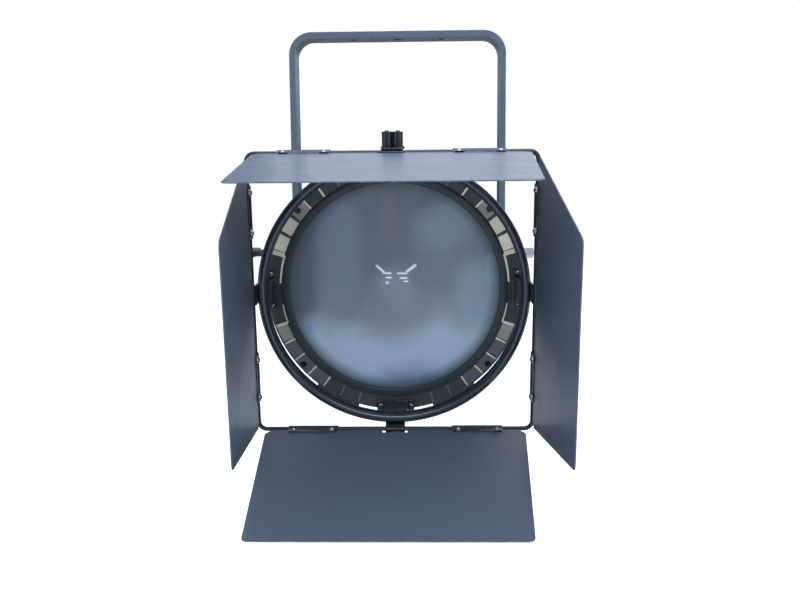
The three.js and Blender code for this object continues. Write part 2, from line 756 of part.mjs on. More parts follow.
// Strap from the ring's outer wall round the back and the outside of the rod.
function frameBracket() {
  const halfWidth = 11;
  const sheet = 2;
  const seat = RING_R + GAP;
  const shelfBack = -ROD_FRONT + ROD_R + GAP + sheet;
  const leg = ROD_HALF + ROD_R + GAP;
  return join([
    box([-halfWidth, shelfBack - sheet, seat], [halfWidth, RING_DEPTH - 2, seat + sheet]),
    box([-halfWidth, shelfBack - sheet, seat], [halfWidth, shelfBack, leg + sheet]),
    box([-halfWidth, -ROD_FRONT - ROD_R, leg], [halfWidth, shelfBack, leg + sheet]),
  ]);
}

// Sheet leaf drawn in the hinge frame: x along the rod, reach forwards along -y.
function leaf(hingeHalf, frontHalf) {
  const edge = 3.4;
  const round = 3;
  const notchHalf = 14;
  const outline = new THREE.Shape();
  outline.moveTo(notchHalf, edge);
  outline.lineTo(hingeHalf - 8, edge);
  outline.lineTo(hingeHalf, edge + 11);
  outline.lineTo(frontHalf + 0.3, LEAF_LENGTH - round);
  outline.quadraticCurveTo(frontHalf, LEAF_LENGTH, frontHalf - round, LEAF_LENGTH);
  outline.lineTo(-frontHalf + round, LEAF_LENGTH);
  outline.quadraticCurveTo(-frontHalf, LEAF_LENGTH, -frontHalf - 0.3, LEAF_LENGTH - round);
  outline.lineTo(-hingeHalf, edge + 11);
  outline.lineTo(-hingeHalf + 8, edge);
  outline.lineTo(-notchHalf, edge);
  outline.lineTo(-notchHalf, edge + 8);
  outline.lineTo(notchHalf, edge + 8);
  const geometry = new THREE.ExtrudeGeometry(outline, {
    depth: LEAF_THICK,
    bevelEnabled: false,
    curveSegments: 5,
  });
  geometry.translate(0, 0, -LEAF_THICK / 2).rotateZ(Math.PI);
  return solid(geometry);
}

// Spring-steel strap curled round the rod, its two tails gripping the leaf.
function hingeClip(x) {
  const sheet = 0.8;
  const innerR = ROD_R + 0.4;
  const outerR = innerR + sheet;
  const slot = LEAF_THICK / 2 + GAP;
  const outside = slot + sheet;
  const tail = 11;
  const section = new THREE.Shape();
  const outerStart = Math.asin(outside / outerR);
  const innerStart = Math.asin(slot / innerR);
  section.moveTo(tail, outside);
  section.absarc(0, 0, outerR, outerStart, 2 * Math.PI - outerStart, false);
  section.lineTo(tail, -outside);
  section.lineTo(tail, -slot);
  section.absarc(0, 0, innerR, 2 * Math.PI - innerStart, innerStart, true);
  section.lineTo(tail, slot);
  const geometry = new THREE.ExtrudeGeometry(section, {
    depth: CLIP_LENGTH,
    bevelEnabled: false,
    curveSegments: 5,
  });
  // section (reach, height) onto (-y, z), length along x
  const turn = new THREE.Matrix4().makeBasis(
    new THREE.Vector3(0, -1, 0),
    new THREE.Vector3(0, 0, 1),
    new THREE.Vector3(-1, 0, 0),
  );
  return solid(geometry.applyMatrix4(turn).translate(x + CLIP_LENGTH / 2, 0, 0));
}

// rest: how far each leaf stands open at rest, inwards negative
const sides = {
  top: { turn: 0, rest: -1.9, hingeHalf: 145, frontHalf: 127.5 },
  right: { turn: 90, rest: 1.2, hingeHalf: 148, frontHalf: 98.5 },
  bottom: { turn: 180, rest: 2.4, hingeHalf: 145, frontHalf: 127.5 },
  left: { turn: 270, rest: -5.3, hingeHalf: 148, frontHalf: 98.5 },
};

place(door, "barndoor_ring", barndoorRing(), blackSteel);
place(door, "rod_frame", rodFrame(), blackSteel);
for (const [name, side] of Object.entries(sides)) {
  const quarter = new THREE.Group();
  quarter.rotation.y = side.turn * degrees;
  door.add(quarter);
  place(quarter, `frame_bracket_${name}`, frameBracket(), blackSteel);
  const hinge = new THREE.Group();
  hinge.position.set(0, -ROD_FRONT, ROD_HALF);
  hinge.rotation.x = -side.rest * degrees;
  quarter.add(hinge);
  place(hinge, `leaf_${name}`, leaf(side.hingeHalf, side.frontHalf), leafPaint);
  place(hinge, `hinge_clip_${name}_a`, hingeClip(-CLIP_OFFSET), blackSteel);
  place(hinge, `hinge_clip_${name}_b`, hingeClip(CLIP_OFFSET), blackSteel);
}

export default spotlight;
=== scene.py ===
"""Fresnel spotlight on a yoke with a four-leaf barn door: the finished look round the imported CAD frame."""
import json
import math

import bmesh
import bpy
from mathutils import Matrix, Vector


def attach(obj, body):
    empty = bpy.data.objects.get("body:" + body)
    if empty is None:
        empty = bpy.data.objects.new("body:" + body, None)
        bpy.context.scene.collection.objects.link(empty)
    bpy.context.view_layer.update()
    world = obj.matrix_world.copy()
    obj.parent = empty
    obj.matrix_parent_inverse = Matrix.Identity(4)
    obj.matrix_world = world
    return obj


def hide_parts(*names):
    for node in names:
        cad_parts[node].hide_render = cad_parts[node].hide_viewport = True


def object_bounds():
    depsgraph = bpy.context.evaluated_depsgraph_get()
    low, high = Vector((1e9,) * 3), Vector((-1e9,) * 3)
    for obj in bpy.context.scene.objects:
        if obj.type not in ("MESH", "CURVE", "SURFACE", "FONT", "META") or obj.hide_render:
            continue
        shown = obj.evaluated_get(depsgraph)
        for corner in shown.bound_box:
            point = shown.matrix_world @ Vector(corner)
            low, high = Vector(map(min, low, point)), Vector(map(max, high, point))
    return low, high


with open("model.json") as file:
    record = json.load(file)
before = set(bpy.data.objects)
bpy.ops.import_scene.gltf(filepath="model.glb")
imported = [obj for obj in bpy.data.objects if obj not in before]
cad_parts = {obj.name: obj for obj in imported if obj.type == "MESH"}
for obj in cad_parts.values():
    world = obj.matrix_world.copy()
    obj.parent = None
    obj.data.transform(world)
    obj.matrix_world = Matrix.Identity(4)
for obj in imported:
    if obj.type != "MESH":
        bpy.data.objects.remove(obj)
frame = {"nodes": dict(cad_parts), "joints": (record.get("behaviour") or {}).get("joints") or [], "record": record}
CAD_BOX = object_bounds()
NODES = frame["nodes"]
JOINTS = {joint["name"]: joint for joint in frame["joints"]}
MM = 0.001
SIDES = ("top", "right", "bottom", "left")


# ---- places, worked out from the frame's joints ----
def axes_matrix(origin, x_axis, y_axis):
    """A matrix from millimetres along the given axes to the row frame in metres."""
    z_axis = x_axis.cross(y_axis)
    turn = Matrix((x_axis, y_axis, z_axis)).transposed().to_4x4()
    return Matrix.Translation(origin) @ turn @ Matrix.Scale(MM, 4)


# optics: origin in the front plane of the barn-door ring, y backwards along the optical axis
OPTICS = axes_matrix(
    Vector(JOINTS["ring_turn"]["pos_m"]),
    Vector(JOINTS["tilt"]["axis"]),
    Vector(JOINTS["ring_turn"]["axis"]),
)
# pivot: origin on the tilt axis, axes of the row frame
PIVOT = Matrix.Translation(JOINTS["tilt"]["pos_m"]) @ Matrix.Scale(MM, 4)


def hinge_matrix(side):
    """Origin in the middle of a leaf's rod: x along it, y backwards in the leaf's plane, z outwards."""
    joint = JOINTS[f"leaf_{side}_hinge"]
    origin = Vector(joint["pos_m"])
    along = Vector(joint["axis"])
    vertices = NODES[f"leaf_{side}"].data.vertices
    middle = sum((vertex.co for vertex in vertices), Vector()) / len(vertices)
    reach = middle - origin
    backwards = -(reach - along * reach.dot(along)).normalized()
    outwards = origin - Vector(JOINTS["ring_turn"]["pos_m"])
    if along.cross(backwards).dot(outwards) < 0:
        along = -along
    return axes_matrix(origin, along, backwards)


def quarter_matrix(side):
    """The optics frame turned so that +z points to one side of the ring."""
    return OPTICS @ Matrix.Rotation(math.radians(90 * SIDES.index(side)), 4, "Y")


# ---- dimensions in millimetres, as in the CAD model ----
BAR_THICK = 8
BAR_HOLES = ((-59, 5.5), (0, 6.5), (59, 5.5))  # x and radius
BEZEL_FRONT = 31
BEZEL_BACK = 56
BEZEL_R = 144.5
BEZEL_BORE_R = 127
LENS_SIGHT_R = 118.5
LENS_R = 125
LENS_EDGE_FRONT = 37
LENS_EDGE_BACK = 43
BARREL_R = 126
BARREL_BACK = 300
REAR_BACK = 400
RING_R = 150
RING_BORE_R = 140
RING_DEPTH = 14
ROD_R = 2.5
ROD_HALF = 153.5
ROD_FRONT = 6.3
ROD_CORNER = 9
LEAF_LENGTH = 240
LEAF_THICK = 1.2
LEAF_NEAR = 3.4
NOTCH_HALF = 14
CLIP_LENGTH = 56
CLIP_OFFSET = 92
RIB_PITCH = 9
LUG_R = 149
LUG_FRONT = 37
CLAW_R = 138
CLAW_SCREW_X = 17.5


# ---- materials ----
# sockets of a Mix node that mixes colours
MIX_A = 6
MIX_B = 7
MIX_RESULT = 2


class Shader:
    """A principled material with a small set of procedural layers."""

    def __init__(self, name, color, roughness, metallic=0.0, **inputs):
        self.material = bpy.data.materials.new(name)
        self.material.use_nodes = True
        self.nodes = self.material.node_tree.nodes
        self.links = self.material.node_tree.links
        self.bsdf = self.nodes["Principled BSDF"]
        self.bsdf.inputs["Base Color"].default_value = (*color, 1)
        self.bsdf.inputs["Roughness"].default_value = roughness
        self.bsdf.inputs["Metallic"].default_value = metallic
        for key, value in inputs.items():
            self.bsdf.inputs[key.replace("_", " ")].default_value = value
        self.place = self.nodes.new("ShaderNodeTexCoord").outputs["Object"]

    def noise(self, scale, detail, stretch=(1, 1, 1)):
        place = self.place
        if stretch != (1, 1, 1):
            mapping = self.nodes.new("ShaderNodeMapping")
            mapping.inputs["Scale"].default_value = stretch
            self.links.new(self.place, mapping.inputs["Vector"])
            place = mapping.outputs["Vector"]
        node = self.nodes.new("ShaderNodeTexNoise")
        node.inputs["Scale"].default_value = scale
        node.inputs["Detail"].default_value = detail
        self.links.new(place, node.inputs["Vector"])
        return node.outputs["Fac"]

    def ranged(self, value, low, high, start=0.3, end=0.7):
        node = self.nodes.new("ShaderNodeMapRange")
        node.inputs["From Min"].default_value = start
        node.inputs["From Max"].default_value = end
        node.inputs["To Min"].default_value = low
        node.inputs["To Max"].default_value = high
        self.links.new(value, node.inputs["Value"])
        return node.outputs["Result"]

    def mix(self, factor, first, second):
        node = self.nodes.new("ShaderNodeMix")
        node.data_type = "RGBA"
        for key, value in (("Factor", factor), (MIX_A, first), (MIX_B, second)):
            socket = node.inputs[key]
            if isinstance(value, bpy.types.NodeSocket):
                self.links.new(value, socket)
            else:
                socket.default_value = value if isinstance(value, float) else (*value, 1)
        return node.outputs[MIX_RESULT]

    def worn_edges(self, width, strength):
        """1 on convex edges broken up by noise, 0 elsewhere."""
        bevel = self.nodes.new("ShaderNodeBevel")
        bevel.samples = 4
        bevel.inputs["Radius"].default_value = width
        geometry = self.nodes.new("ShaderNodeNewGeometry")
        dot = self.nodes.new("ShaderNodeVectorMath")
        dot.operation = "DOT_PRODUCT"
        self.links.new(bevel.outputs["Normal"], dot.inputs[0])
        self.links.new(geometry.outputs["Normal"], dot.inputs[1])
        edge = self.ranged(dot.outputs["Value"], 1.0, 0.0, 0.80, 0.99)
        patches = self.ranged(self.noise(scale=160, detail=4), 0.0, strength, 0.46, 0.62)
        return self.combined("MULTIPLY", edge, patches)

    def vector(self, operation, first, second=None, scale=None):
        node = self.nodes.new("ShaderNodeVectorMath")
        node.operation = operation
        self.links.new(first, node.inputs[0])
        if isinstance(second, bpy.types.NodeSocket):
            self.links.new(second, node.inputs[1])
        elif second is not None:
            node.inputs[1].default_value = second
        if isinstance(scale, bpy.types.NodeSocket):
            self.links.new(scale, node.inputs["Scale"])
        elif scale is not None:
            node.inputs["Scale"].default_value = scale
        return node.outputs["Value" if operation in ("DOT_PRODUCT", "LENGTH") else "Vector"]

    def stroke(self, start, end, width):
        """1 on a short line between two (x, z) points, fading out over its width."""
        first = Vector((start[0], 0, start[1]))
        span = Vector((end[0], 0, end[1])) - first
        flat = self.vector("MULTIPLY", self.place, (1, 0, 1))
        offset = self.vector("SUBTRACT", flat, first)
        share = self.vector("DOT_PRODUCT", offset, span / span.length_squared)
        along = self.ranged(share, 0.0, 1.0, 0.0, 1.0)
        holder = self.nodes.new("ShaderNodeCombineXYZ")
        holder.inputs["X"].default_value, _, holder.inputs["Z"].default_value = span
        nearest = self.vector("SCALE", holder.outputs["Vector"], scale=along)
        distance = self.vector("LENGTH", self.vector("SUBTRACT", offset, nearest))
        return self.ranged(distance, 1.0, 0.0, 0.0, width)

    def combined(self, operation, first, second):
        node = self.nodes.new("ShaderNodeMath")
        node.operation = operation
        for socket, value in zip(node.inputs, (first, second)):
            if isinstance(value, bpy.types.NodeSocket):
                self.links.new(value, socket)
            else:
                socket.default_value = value
        return node.outputs["Value"]

    def color(self, socket):
        self.links.new(socket, self.bsdf.inputs["Base Color"])

    def roughness(self, socket):
        self.links.new(socket, self.bsdf.inputs["Roughness"])

    def bump(self, height, strength, distance):
        node = self.nodes.new("ShaderNodeBump")
        node.inputs["Strength"].default_value = strength
        node.inputs["Distance"].default_value = distance
        self.links.new(height, node.inputs["Height"])
        self.links.new(node.outputs["Normal"], self.bsdf.inputs["Normal"])


def scaled(color, factor):
    return tuple(min(1.0, channel * factor) for channel in color)


def painted(name, color, roughness, under, peel=900, depth=0.00004, wear=0.7, mottle=0.06, metallic=0.0,
            **inputs):
    """Powder coat: mottling, light specks, orange peel and edges rubbed through to what is under it."""
    shader = Shader(name, color, roughness, metallic, **inputs)
    spread = shader.ranged(shader.noise(scale=14, detail=5), 0.0, 1.0)
    mottled = shader.mix(spread, scaled(color, 1 - mottle), scaled(color, 1 + mottle))
    specks = shader.ranged(shader.noise(scale=1500, detail=2), 0.0, 0.25, 0.55, 0.75)
    speckled = shader.mix(specks, mottled, scaled(color, 1.35))
    shader.color(shader.mix(shader.worn_edges(0.0012, wear), speckled, under))
    shader.roughness(shader.ranged(shader.noise(scale=35, detail=5), roughness - 0.04, roughness + 0.05))
    shader.bump(shader.noise(peel, detail=2), 0.35, depth)
    return shader.material


def plastic(name, color, roughness, grain=1400):
    """Moulded plastic with a fine spark-eroded grain."""
    shader = Shader(name, color, roughness)
    spread = shader.ranged(shader.noise(scale=25, detail=4), 0.0, 1.0)
    shader.color(shader.mix(spread, scaled(color, 0.8), scaled(color, 1.25)))
    shader.roughness(shader.ranged(shader.noise(scale=60, detail=4), roughness - 0.08, roughness + 0.1))
    shader.bump(shader.noise(grain, detail=3), 0.5, 0.00006)
    return shader.material


def metal(name, color, roughness, stretch=(1, 1, 1)):
    """Bare metal with fine streaks and dull patches."""
    shader = Shader(name, color, roughness, metallic=1.0)
    stains = shader.ranged(shader.noise(scale=40, detail=6), 0.0, 1.0)
    shader.color(shader.mix(stains, scaled(color, 0.72), scaled(color, 1.08)))
    shader.roughness(shader.ranged(shader.noise(scale=120, detail=5), roughness - 0.08, roughness + 0.14))
    shader.bump(shader.noise(scale=500, detail=3, stretch=stretch), 0.4, 0.00001)
    return shader.material


# places on the lens are millimetres from its middle: x to the right, z up
LENS_TOP = 115
LENS_BOTTOM = -112
# painted reflection: darker towards the top, lighter and bluer below; share of the way from LENS_TOP to
# LENS_BOTTOM, and the tone there
LENS_REFLECTION_TONES = ((0.03, (0.150, 0.190, 0.240)), (0.20, (0.180, 0.236, 0.305)), (0.50, (0.220, 0.272, 0.345)),
              (0.62, (0.292, 0.356, 0.425)), (0.74, (0.446, 0.572, 0.728)), (0.86, (0.427, 0.552, 0.728)),
              (0.93, (0.310, 0.448, 0.620)), (1.00, (0.150, 0.225, 0.320)))
# painted reflections and shade in the glass: soft patches, each a blurred line from one (x, z) to another:
# half-width, tone, strength
LENS_REFLECTIONS_AND_SHADE = (
    ((-12, 95), (-14, 20), 42, (0.163, 0.200, 0.250), 0.75),
    ((-61, 80), (-61, -15), 29, (0.230, 0.295, 0.395), 0.85),
    ((-106, 60), (-106, -18), 24, (0.110, 0.147, 0.202), 0.80),
    ((-6, 96), (-8, 62), 15, (0.205, 0.228, 0.265), 0.60),
    ((50, 64), (72, 80), 32, (0.300, 0.400, 0.500), 0.75),
    ((95, 5), (92, -32), 32, (0.320, 0.425, 0.555), 0.80),
    ((6, -12), (2, -32), 42, (0.262, 0.305, 0.375), 0.75),
    ((0, 2), (6, -8), 26, (0.330, 0.395, 0.490), 0.80),
    ((-37, -4), (-50, -28), 10, (0.215, 0.230, 0.290), 0.40),
    ((108, 34), (108, 6), 6, (0.300, 0.440, 0.580), 0.75),
    ((-99, -44), (-97, -50), 4, (0.240, 0.430, 0.760), 0.90),
)
# painted glints that glow, for the emitter and its reflector seen through the lens: short strokes from one (x, z)
# to another, and their width
GLINTS = (((-19.6, 25), (-12, 18), 2.2), ((-12, 16.5), (-4, 16.5), 1.6), ((4, 16.2), (14, 16.2), 1.6),
          ((14.5, 18.5), (23.5, 25), 2.6), ((-8.6, 5.6), (-7.6, 5.6), 2.2))
YELLOW_GLINTS = (((-9, 11.4), (-4, 11.4), 1.6), ((7, 10.8), (14, 10.8), 1.6), ((11, 7), (15, 7), 1.4))
# painted shade: the glass darkens towards the retaining ring over this many millimetres
RIM_SHADE = 12
RIM_SHADE_TONE = (0.060, 0.092, 0.112)
GLINT_WHITE = (0.68, 0.78, 1.0)
GLINT_YELLOW = (1.0, 0.86, 0.45)


def frosted_lens():
    """Frosted lens with painted light: darker grey towards the top and pale blue below as painted reflection, soft
    painted reflections and shade, painted shade at its rim, and painted glints in the middle for the emitter seen
    through it, all glowing faintly.
    """
    shader = Shader("frosted_lens", (0.20, 0.245, 0.30), 0.36, Transmission_Weight=0.08, IOR=1.5,
                    Coat_Weight=0.2, Coat_Roughness=0.25)
    centre = OPTICS @ Vector((0, LENS_EDGE_FRONT, 0))
    shader.place = shader.vector("SCALE", shader.vector("SUBTRACT", shader.place, centre), scale=1 / MM)
    split = shader.nodes.new("ShaderNodeSeparateXYZ")
    shader.links.new(shader.place, split.inputs[0])
    waver = shader.ranged(shader.noise(scale=0.012, detail=3), -14.0, 14.0)
    height = shader.combined("ADD", split.outputs["Z"], waver)
    # painted reflection: the lens colour runs from darker at the top to lighter below
    ramp = shader.nodes.new("ShaderNodeValToRGB")
    while len(ramp.color_ramp.elements) < len(LENS_REFLECTION_TONES):
        ramp.color_ramp.elements.new(0.5)
    for element, (position, tone) in zip(ramp.color_ramp.elements, LENS_REFLECTION_TONES):
        element.position = position
        element.color = (*tone, 1)
    shader.links.new(shader.ranged(height, 0.0, 1.0, LENS_TOP, LENS_BOTTOM), ramp.inputs["Fac"])
    tone = ramp.outputs["Color"]
    # painted reflections and shade laid over the lens colour
    for start, end, width, patch, strength in LENS_REFLECTIONS_AND_SHADE:
        fade = shader.ranged(shader.stroke(start, end, 1.2 * width), 0.0, strength, 0.0, 0.8)
        fade.node.interpolation_type = "SMOOTHSTEP"
        tone = shader.mix(fade, tone, patch)
    # painted shade towards the rim of the glass
    rim = shader.vector("LENGTH", shader.vector("MULTIPLY", shader.place, (1, 0, 1)))
    shade = shader.ranged(rim, 0.0, 0.75, LENS_SIGHT_R - RIM_SHADE, LENS_SIGHT_R)
    tone = shader.mix(shade, tone, RIM_SHADE_TONE)
    shader.color(tone)
    shader.roughness(shader.ranged(shader.noise(scale=0.05, detail=4), 0.30, 0.42))
    shader.bump(shader.noise(scale=0.7, detail=2), 0.12, 0.00003)
    white = yellow = 0.0
    for start, end, width in GLINTS:
        white = shader.combined("MAXIMUM", shader.stroke(start, end, width), white)
    for start, end, width in YELLOW_GLINTS:
        yellow = shader.combined("MAXIMUM", shader.stroke(start, end, width), yellow)
    glint = shader.mix(yellow, GLINT_WHITE, GLINT_YELLOW)
    glow = shader.combined("MAXIMUM", white, yellow)
    # painted light: the whole lens glows faintly in its own colour, and the painted glints glow brighter
    shader.links.new(shader.mix(glow, tone, glint), shader.bsdf.inputs["Emission Color"])
    shader.links.new(shader.ranged(glow, 0.2, 0.9, 0.0, 1.0), shader.bsdf.inputs["Emission Strength"])
    return shader.material


BARE = (0.42, 0.42, 0.41)
BARE_STEEL = (0.35, 0.38, 0.42)
MATERIALS = {
    "slate_paint": painted("slate_paint", (0.082, 0.107, 0.150), 0.55, BARE, Specular_IOR_Level=0.25),
    "leaf_paint": painted("leaf_paint", (0.088, 0.115, 0.160), 0.52, BARE, peel=1100, depth=0.00002,
                          mottle=0.01, Specular_IOR_Level=0.15, Coat_Weight=0.20, Coat_Roughness=0.28),
    "dark_paint": painted("dark_paint", (0.020, 0.024, 0.029), 0.45, BARE),
    "cast_paint": painted("cast_paint", (0.041, 0.050, 0.058), 0.48, BARE, peel=520, depth=0.00009,
                          wear=0.5),
    "black_steel": painted("black_steel", (0.014, 0.018, 0.024), 0.30, (0.35, 0.35, 0.35), wear=0.6,
                           metallic=0.3),
    "ring_paint": painted("ring_paint", (0.046, 0.062, 0.086), 0.28, BARE, wear=0.5, metallic=0.5,
                          Coat_Weight=0.3, Coat_Roughness=0.14),
    "claw_steel": painted("claw_steel", (0.026, 0.034, 0.044), 0.34, BARE_STEEL, wear=1.0),
    "clip_steel": painted("clip_steel", (0.040, 0.052, 0.070), 0.30, BARE_STEEL, wear=0.8, metallic=0.4),
    "clip_screw": metal("clip_screw", (0.40, 0.41, 0.42), 0.28),
    "latch_black": painted("latch_black", (0.008, 0.010, 0.020), 0.26, (0.10, 0.12, 0.16), wear=0.5),
    # lit and shaded tones for the bezel's cells, ribs and highlight bars: painted highlights and painted shade
    "painted_light_inlay_dark": painted("painted_light_inlay_dark", (0.062, 0.074, 0.086), 0.42, BARE, peel=700, wear=0.3),
    "painted_light_inlay_light": painted("painted_light_inlay_light", (1.0, 0.92, 0.70), 0.45, BARE, peel=700, wear=0.3, metallic=0.75),
    "painted_light_inlay_tan": painted("painted_light_inlay_tan", (0.90, 0.82, 0.64), 0.45, BARE, peel=700, wear=0.3, metallic=0.5),
    "painted_light_inlay_mid": painted("painted_light_inlay_mid", (0.40, 0.41, 0.37), 0.42, BARE, peel=700, wear=0.3, metallic=0.2),
    "painted_light_inlay_cool": painted("painted_light_inlay_cool", (0.150, 0.185, 0.220), 0.42, BARE, peel=700, wear=0.5,
                          metallic=0.2),
    "retainer": painted("retainer", (0.025, 0.040, 0.050), 0.36, BARE, wear=0.4),
    "zinc_steel": metal("zinc_steel", (0.60, 0.57, 0.49), 0.30),
    "nickel": metal("nickel", (0.58, 0.59, 0.61), 0.28),
    "brassy_screw": metal("brassy_screw", (0.50, 0.44, 0.33), 0.34),
    "raw_aluminium": metal("raw_aluminium", (0.62, 0.64, 0.65), 0.38, stretch=(1, 8, 1)),
    "mirror_aluminium": metal("mirror_aluminium", (0.85, 0.86, 0.87), 0.16),
    "black_plastic": plastic("black_plastic", (0.016, 0.017, 0.019), 0.48),
    "grip_plastic": plastic("grip_plastic", (0.020, 0.021, 0.023), 0.62, grain=900),
    "display_plastic": plastic("display_plastic", (0.008, 0.010, 0.013), 0.18, grain=300),
    "silicone": plastic("silicone", (0.014, 0.014, 0.014), 0.75, grain=700),
    "fibre": plastic("fibre", (0.060, 0.040, 0.028), 0.85, grain=800),
    "phosphor": plastic("phosphor", (0.80, 0.62, 0.10), 0.50, grain=1200),
    "frosted_lens": frosted_lens(),
}
SLOT_MATERIAL = {"silicone_rubber": "silicone"}  # the slots whose material has another name
NODE_SLOT = {part["node"]: part["material_slot"] for part in frame["record"]["subparts"]}
NODE_BODY = {
    node: body for body, members in frame["record"]["behaviour"]["bodies"].items() for node in members
}


# ---- mesh helpers ----
NEARLY_STRAIGHT = math.radians(88)  # half the angle of a corner that isn't worth rounding
MOST_OF_EDGE = 0.49
IN_LEAF_PLANE = Matrix(((1, 0, 0, 0), (0, 0, 1, 0), (0, 1, 0, 0), (0, 0, 0, 1)))  # swaps y and z
UPRIGHT = Matrix.Rotation(math.radians(90), 4, "X")  # y of a lathe along +z


def rounded(corners, radius, steps=4):
    """A closed outline with its corners rounded. A corner's third value is a radius of its own."""
    outline = []
    count = len(corners)
    for index, corner in enumerate(corners):
        here = Vector(corner[:2])
        size = corner[2] if len(corner) > 2 else radius
        before = Vector(corners[index - 1][:2]) - here
        after = Vector(corners[(index + 1) % count][:2]) - here
        half = before.angle(after) / 2
        if size <= 0 or half > NEARLY_STRAIGHT:
            outline.append(tuple(here))
            continue
        reach = min(size / math.tan(half), before.length * MOST_OF_EDGE, after.length * MOST_OF_EDGE)
        start = here + before.normalized() * reach
        end = here + after.normalized() * reach
        for step in range(steps + 1):
            share = step / steps
            first = start.lerp(here, share)
            second = here.lerp(end, share)
            outline.append(tuple(first.lerp(second, share)))
    return outline


def bridge(mesh, first, second):
    """Faces between two loops of vertices, of which one may be a single point."""
    count = max(len(first), len(second))
    if count == 1:
        return
    for side in range(count):
        other = (side + 1) % count
        if len(first) == 1:
            mesh.faces.new((first[0], second[side], second[other]))
        elif len(second) == 1:
            mesh.faces.new((first[side], second[0], first[other]))
        else:
            mesh.faces.new((first[side], second[side], second[other], first[other]))


def add_lathe(mesh, section, sides, matrix=Matrix.Identity(4), hexed=()):
    """Turns a closed (radius, y) section about y. The points in hexed follow a hexagon, not a circle."""
    rings = []
    for index, (radius, along) in enumerate(section):
        if radius < 1e-6:
            rings.append([mesh.verts.new(matrix @ Vector((0, along, 0)))])
            continue
        ring = []
        for side in range(sides):
            angle = 2 * math.pi * side / sides
            reach = radius
            if index in hexed:
                reach = radius * math.cos(math.pi / 6) / math.cos(angle % (math.pi / 3) - math.pi / 6)
            point = Vector((reach * math.sin(angle), along, reach * math.cos(angle)))
            ring.append(mesh.verts.new(matrix @ point))
        rings.append(ring)
    for index, ring in enumerate(rings):
        bridge(mesh, ring, rings[(index + 1) % len(rings)])


def add_prism(mesh, outline, low, high, matrix=Matrix.Identity(4)):
    """Extrudes an (x, z) outline along y."""
    bottom = [mesh.verts.new(matrix @ Vector((x, low, z))) for x, z in outline]
    top = [mesh.verts.new(matrix @ Vector((x, high, z))) for x, z in outline]
    mesh.faces.new(bottom)
    mesh.faces.new(list(reversed(top)))
    count = len(outline)
    for index in range(count):
        other = (index + 1) % count
        mesh.faces.new((bottom[other], bottom[index], top[index], top[other]))


def add_box(mesh, low, high, matrix=Matrix.Identity(4)):
    outline = [(low[0], low[2]), (high[0], low[2]), (high[0], high[2]), (low[0], high[2])]
    add_prism(mesh, outline, low[1], high[1], matrix)


def piece(name, mesh, matrix, body, material, replaces=(), bevel=0.0, sharp=35, segments=2):
    """Turns millimetre mesh data into a finished, riding object."""
    bmesh.ops.recalc_face_normals(mesh, faces=mesh.faces)
    mesh.transform(matrix)
    if matrix.determinant() < 0:
        bmesh.ops.reverse_faces(mesh, faces=mesh.faces)
    for face in mesh.faces:
        face.smooth = True
    for edge in mesh.edges:
        if len(edge.link_faces) == 2 and edge.calc_face_angle(0) > math.radians(sharp):
            edge.smooth = False
    data = bpy.data.meshes.new(name)
    mesh.to_mesh(data)
    mesh.free()
    made = bpy.data.objects.new(name, data)
    bpy.context.scene.collection.objects.link(made)
    data.materials.append(MATERIALS[material])
    if bevel:
        rounding = made.modifiers.new("edges", "BEVEL")
        rounding.width = bevel * MM
        rounding.segments = segments
        rounding.limit_method = "ANGLE"
        rounding.angle_limit = math.radians(sharp)
        rounding.harden_normals = True
    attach(made, body)
    if replaces:
        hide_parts(*replaces)
    return made


def refined(node, bevel, material=None, sharp=35, segments=2):
    """A CAD node with welded, clean faces, rounded edges and smooth round stretches."""
    mesh = bmesh.new()
    mesh.from_mesh(NODES[node].data)
    bmesh.ops.remove_doubles(mesh, verts=mesh.verts, dist=2e-6)
    bmesh.ops.dissolve_limit(
        mesh, angle_limit=math.radians(0.4), verts=mesh.verts, edges=mesh.edges, delimit={"NORMAL"}
    )
    slot = NODE_SLOT[node]
    return piece(
        f"{node}_finish", mesh, Matrix.Identity(4), NODE_BODY[node],
        material or SLOT_MATERIAL.get(slot, slot), (node,), bevel, sharp, segments,
    )


def facing(point, direction):
    """A matrix at a point whose -y axis points along direction, which is where a screw's head faces."""
    back = -Vector(direction).normalized()
    helper = Vector((0, 0, 1)) if abs(back.z) < 0.9 else Vector((1, 0, 0))
    x_axis = back.cross(helper).normalized()
    turn = Matrix((x_axis, back, x_axis.cross(back))).transposed().to_4x4()
    return Matrix.Translation(point) @ turn


def add_cap_screw(mesh, matrix, radius, height):
    """Socket-head cap screw whose head stands on y = 0 and faces -y."""
    shank = 1.0
    key = radius * 0.52
    section = [
        (0, shank), (radius * 0.6, shank), (radius * 0.6, 0), (radius, 0),
        (radius, -height + 0.4), (radius - 0.4, -height), (key + 0.25, -height), (key, -height + 0.25),
        (key, -height * 0.35), (0, -height * 0.25),
    ]
    add_lathe(mesh, section, 36, matrix, hexed=(6, 7, 8))


def add_button_screw(mesh, matrix, radius, height):
    """Button-head screw with a hexagon socket, standing on y = 0 and facing -y."""
    key = radius * 0.42
    dome = []
    for step in range(6):
        angle = math.pi / 2 * step / 6
        dome.append((radius * math.cos(angle), -height * math.sin(angle)))
    section = [(0, 0.6), (radius * 0.5, 0.6), (radius * 0.5, 0)]
    section += [point for point in dome if point[0] > key + 0.3]
    section += [(key + 0.2, -height * 0.94), (key, -height * 0.8), (key, -height * 0.2)]
    section.append((0, -height * 0.15))
    last = len(section) - 1
    add_lathe(mesh, section, 30, matrix, hexed=(last - 1, last - 2, last - 3))


def add_washer(mesh, matrix, inner, outer, thick):
    section = rounded([(inner, 0), (outer, 0), (outer, -thick), (inner, -thick)], 0.15, 2)
    add_lathe(mesh, section, 30, matrix)


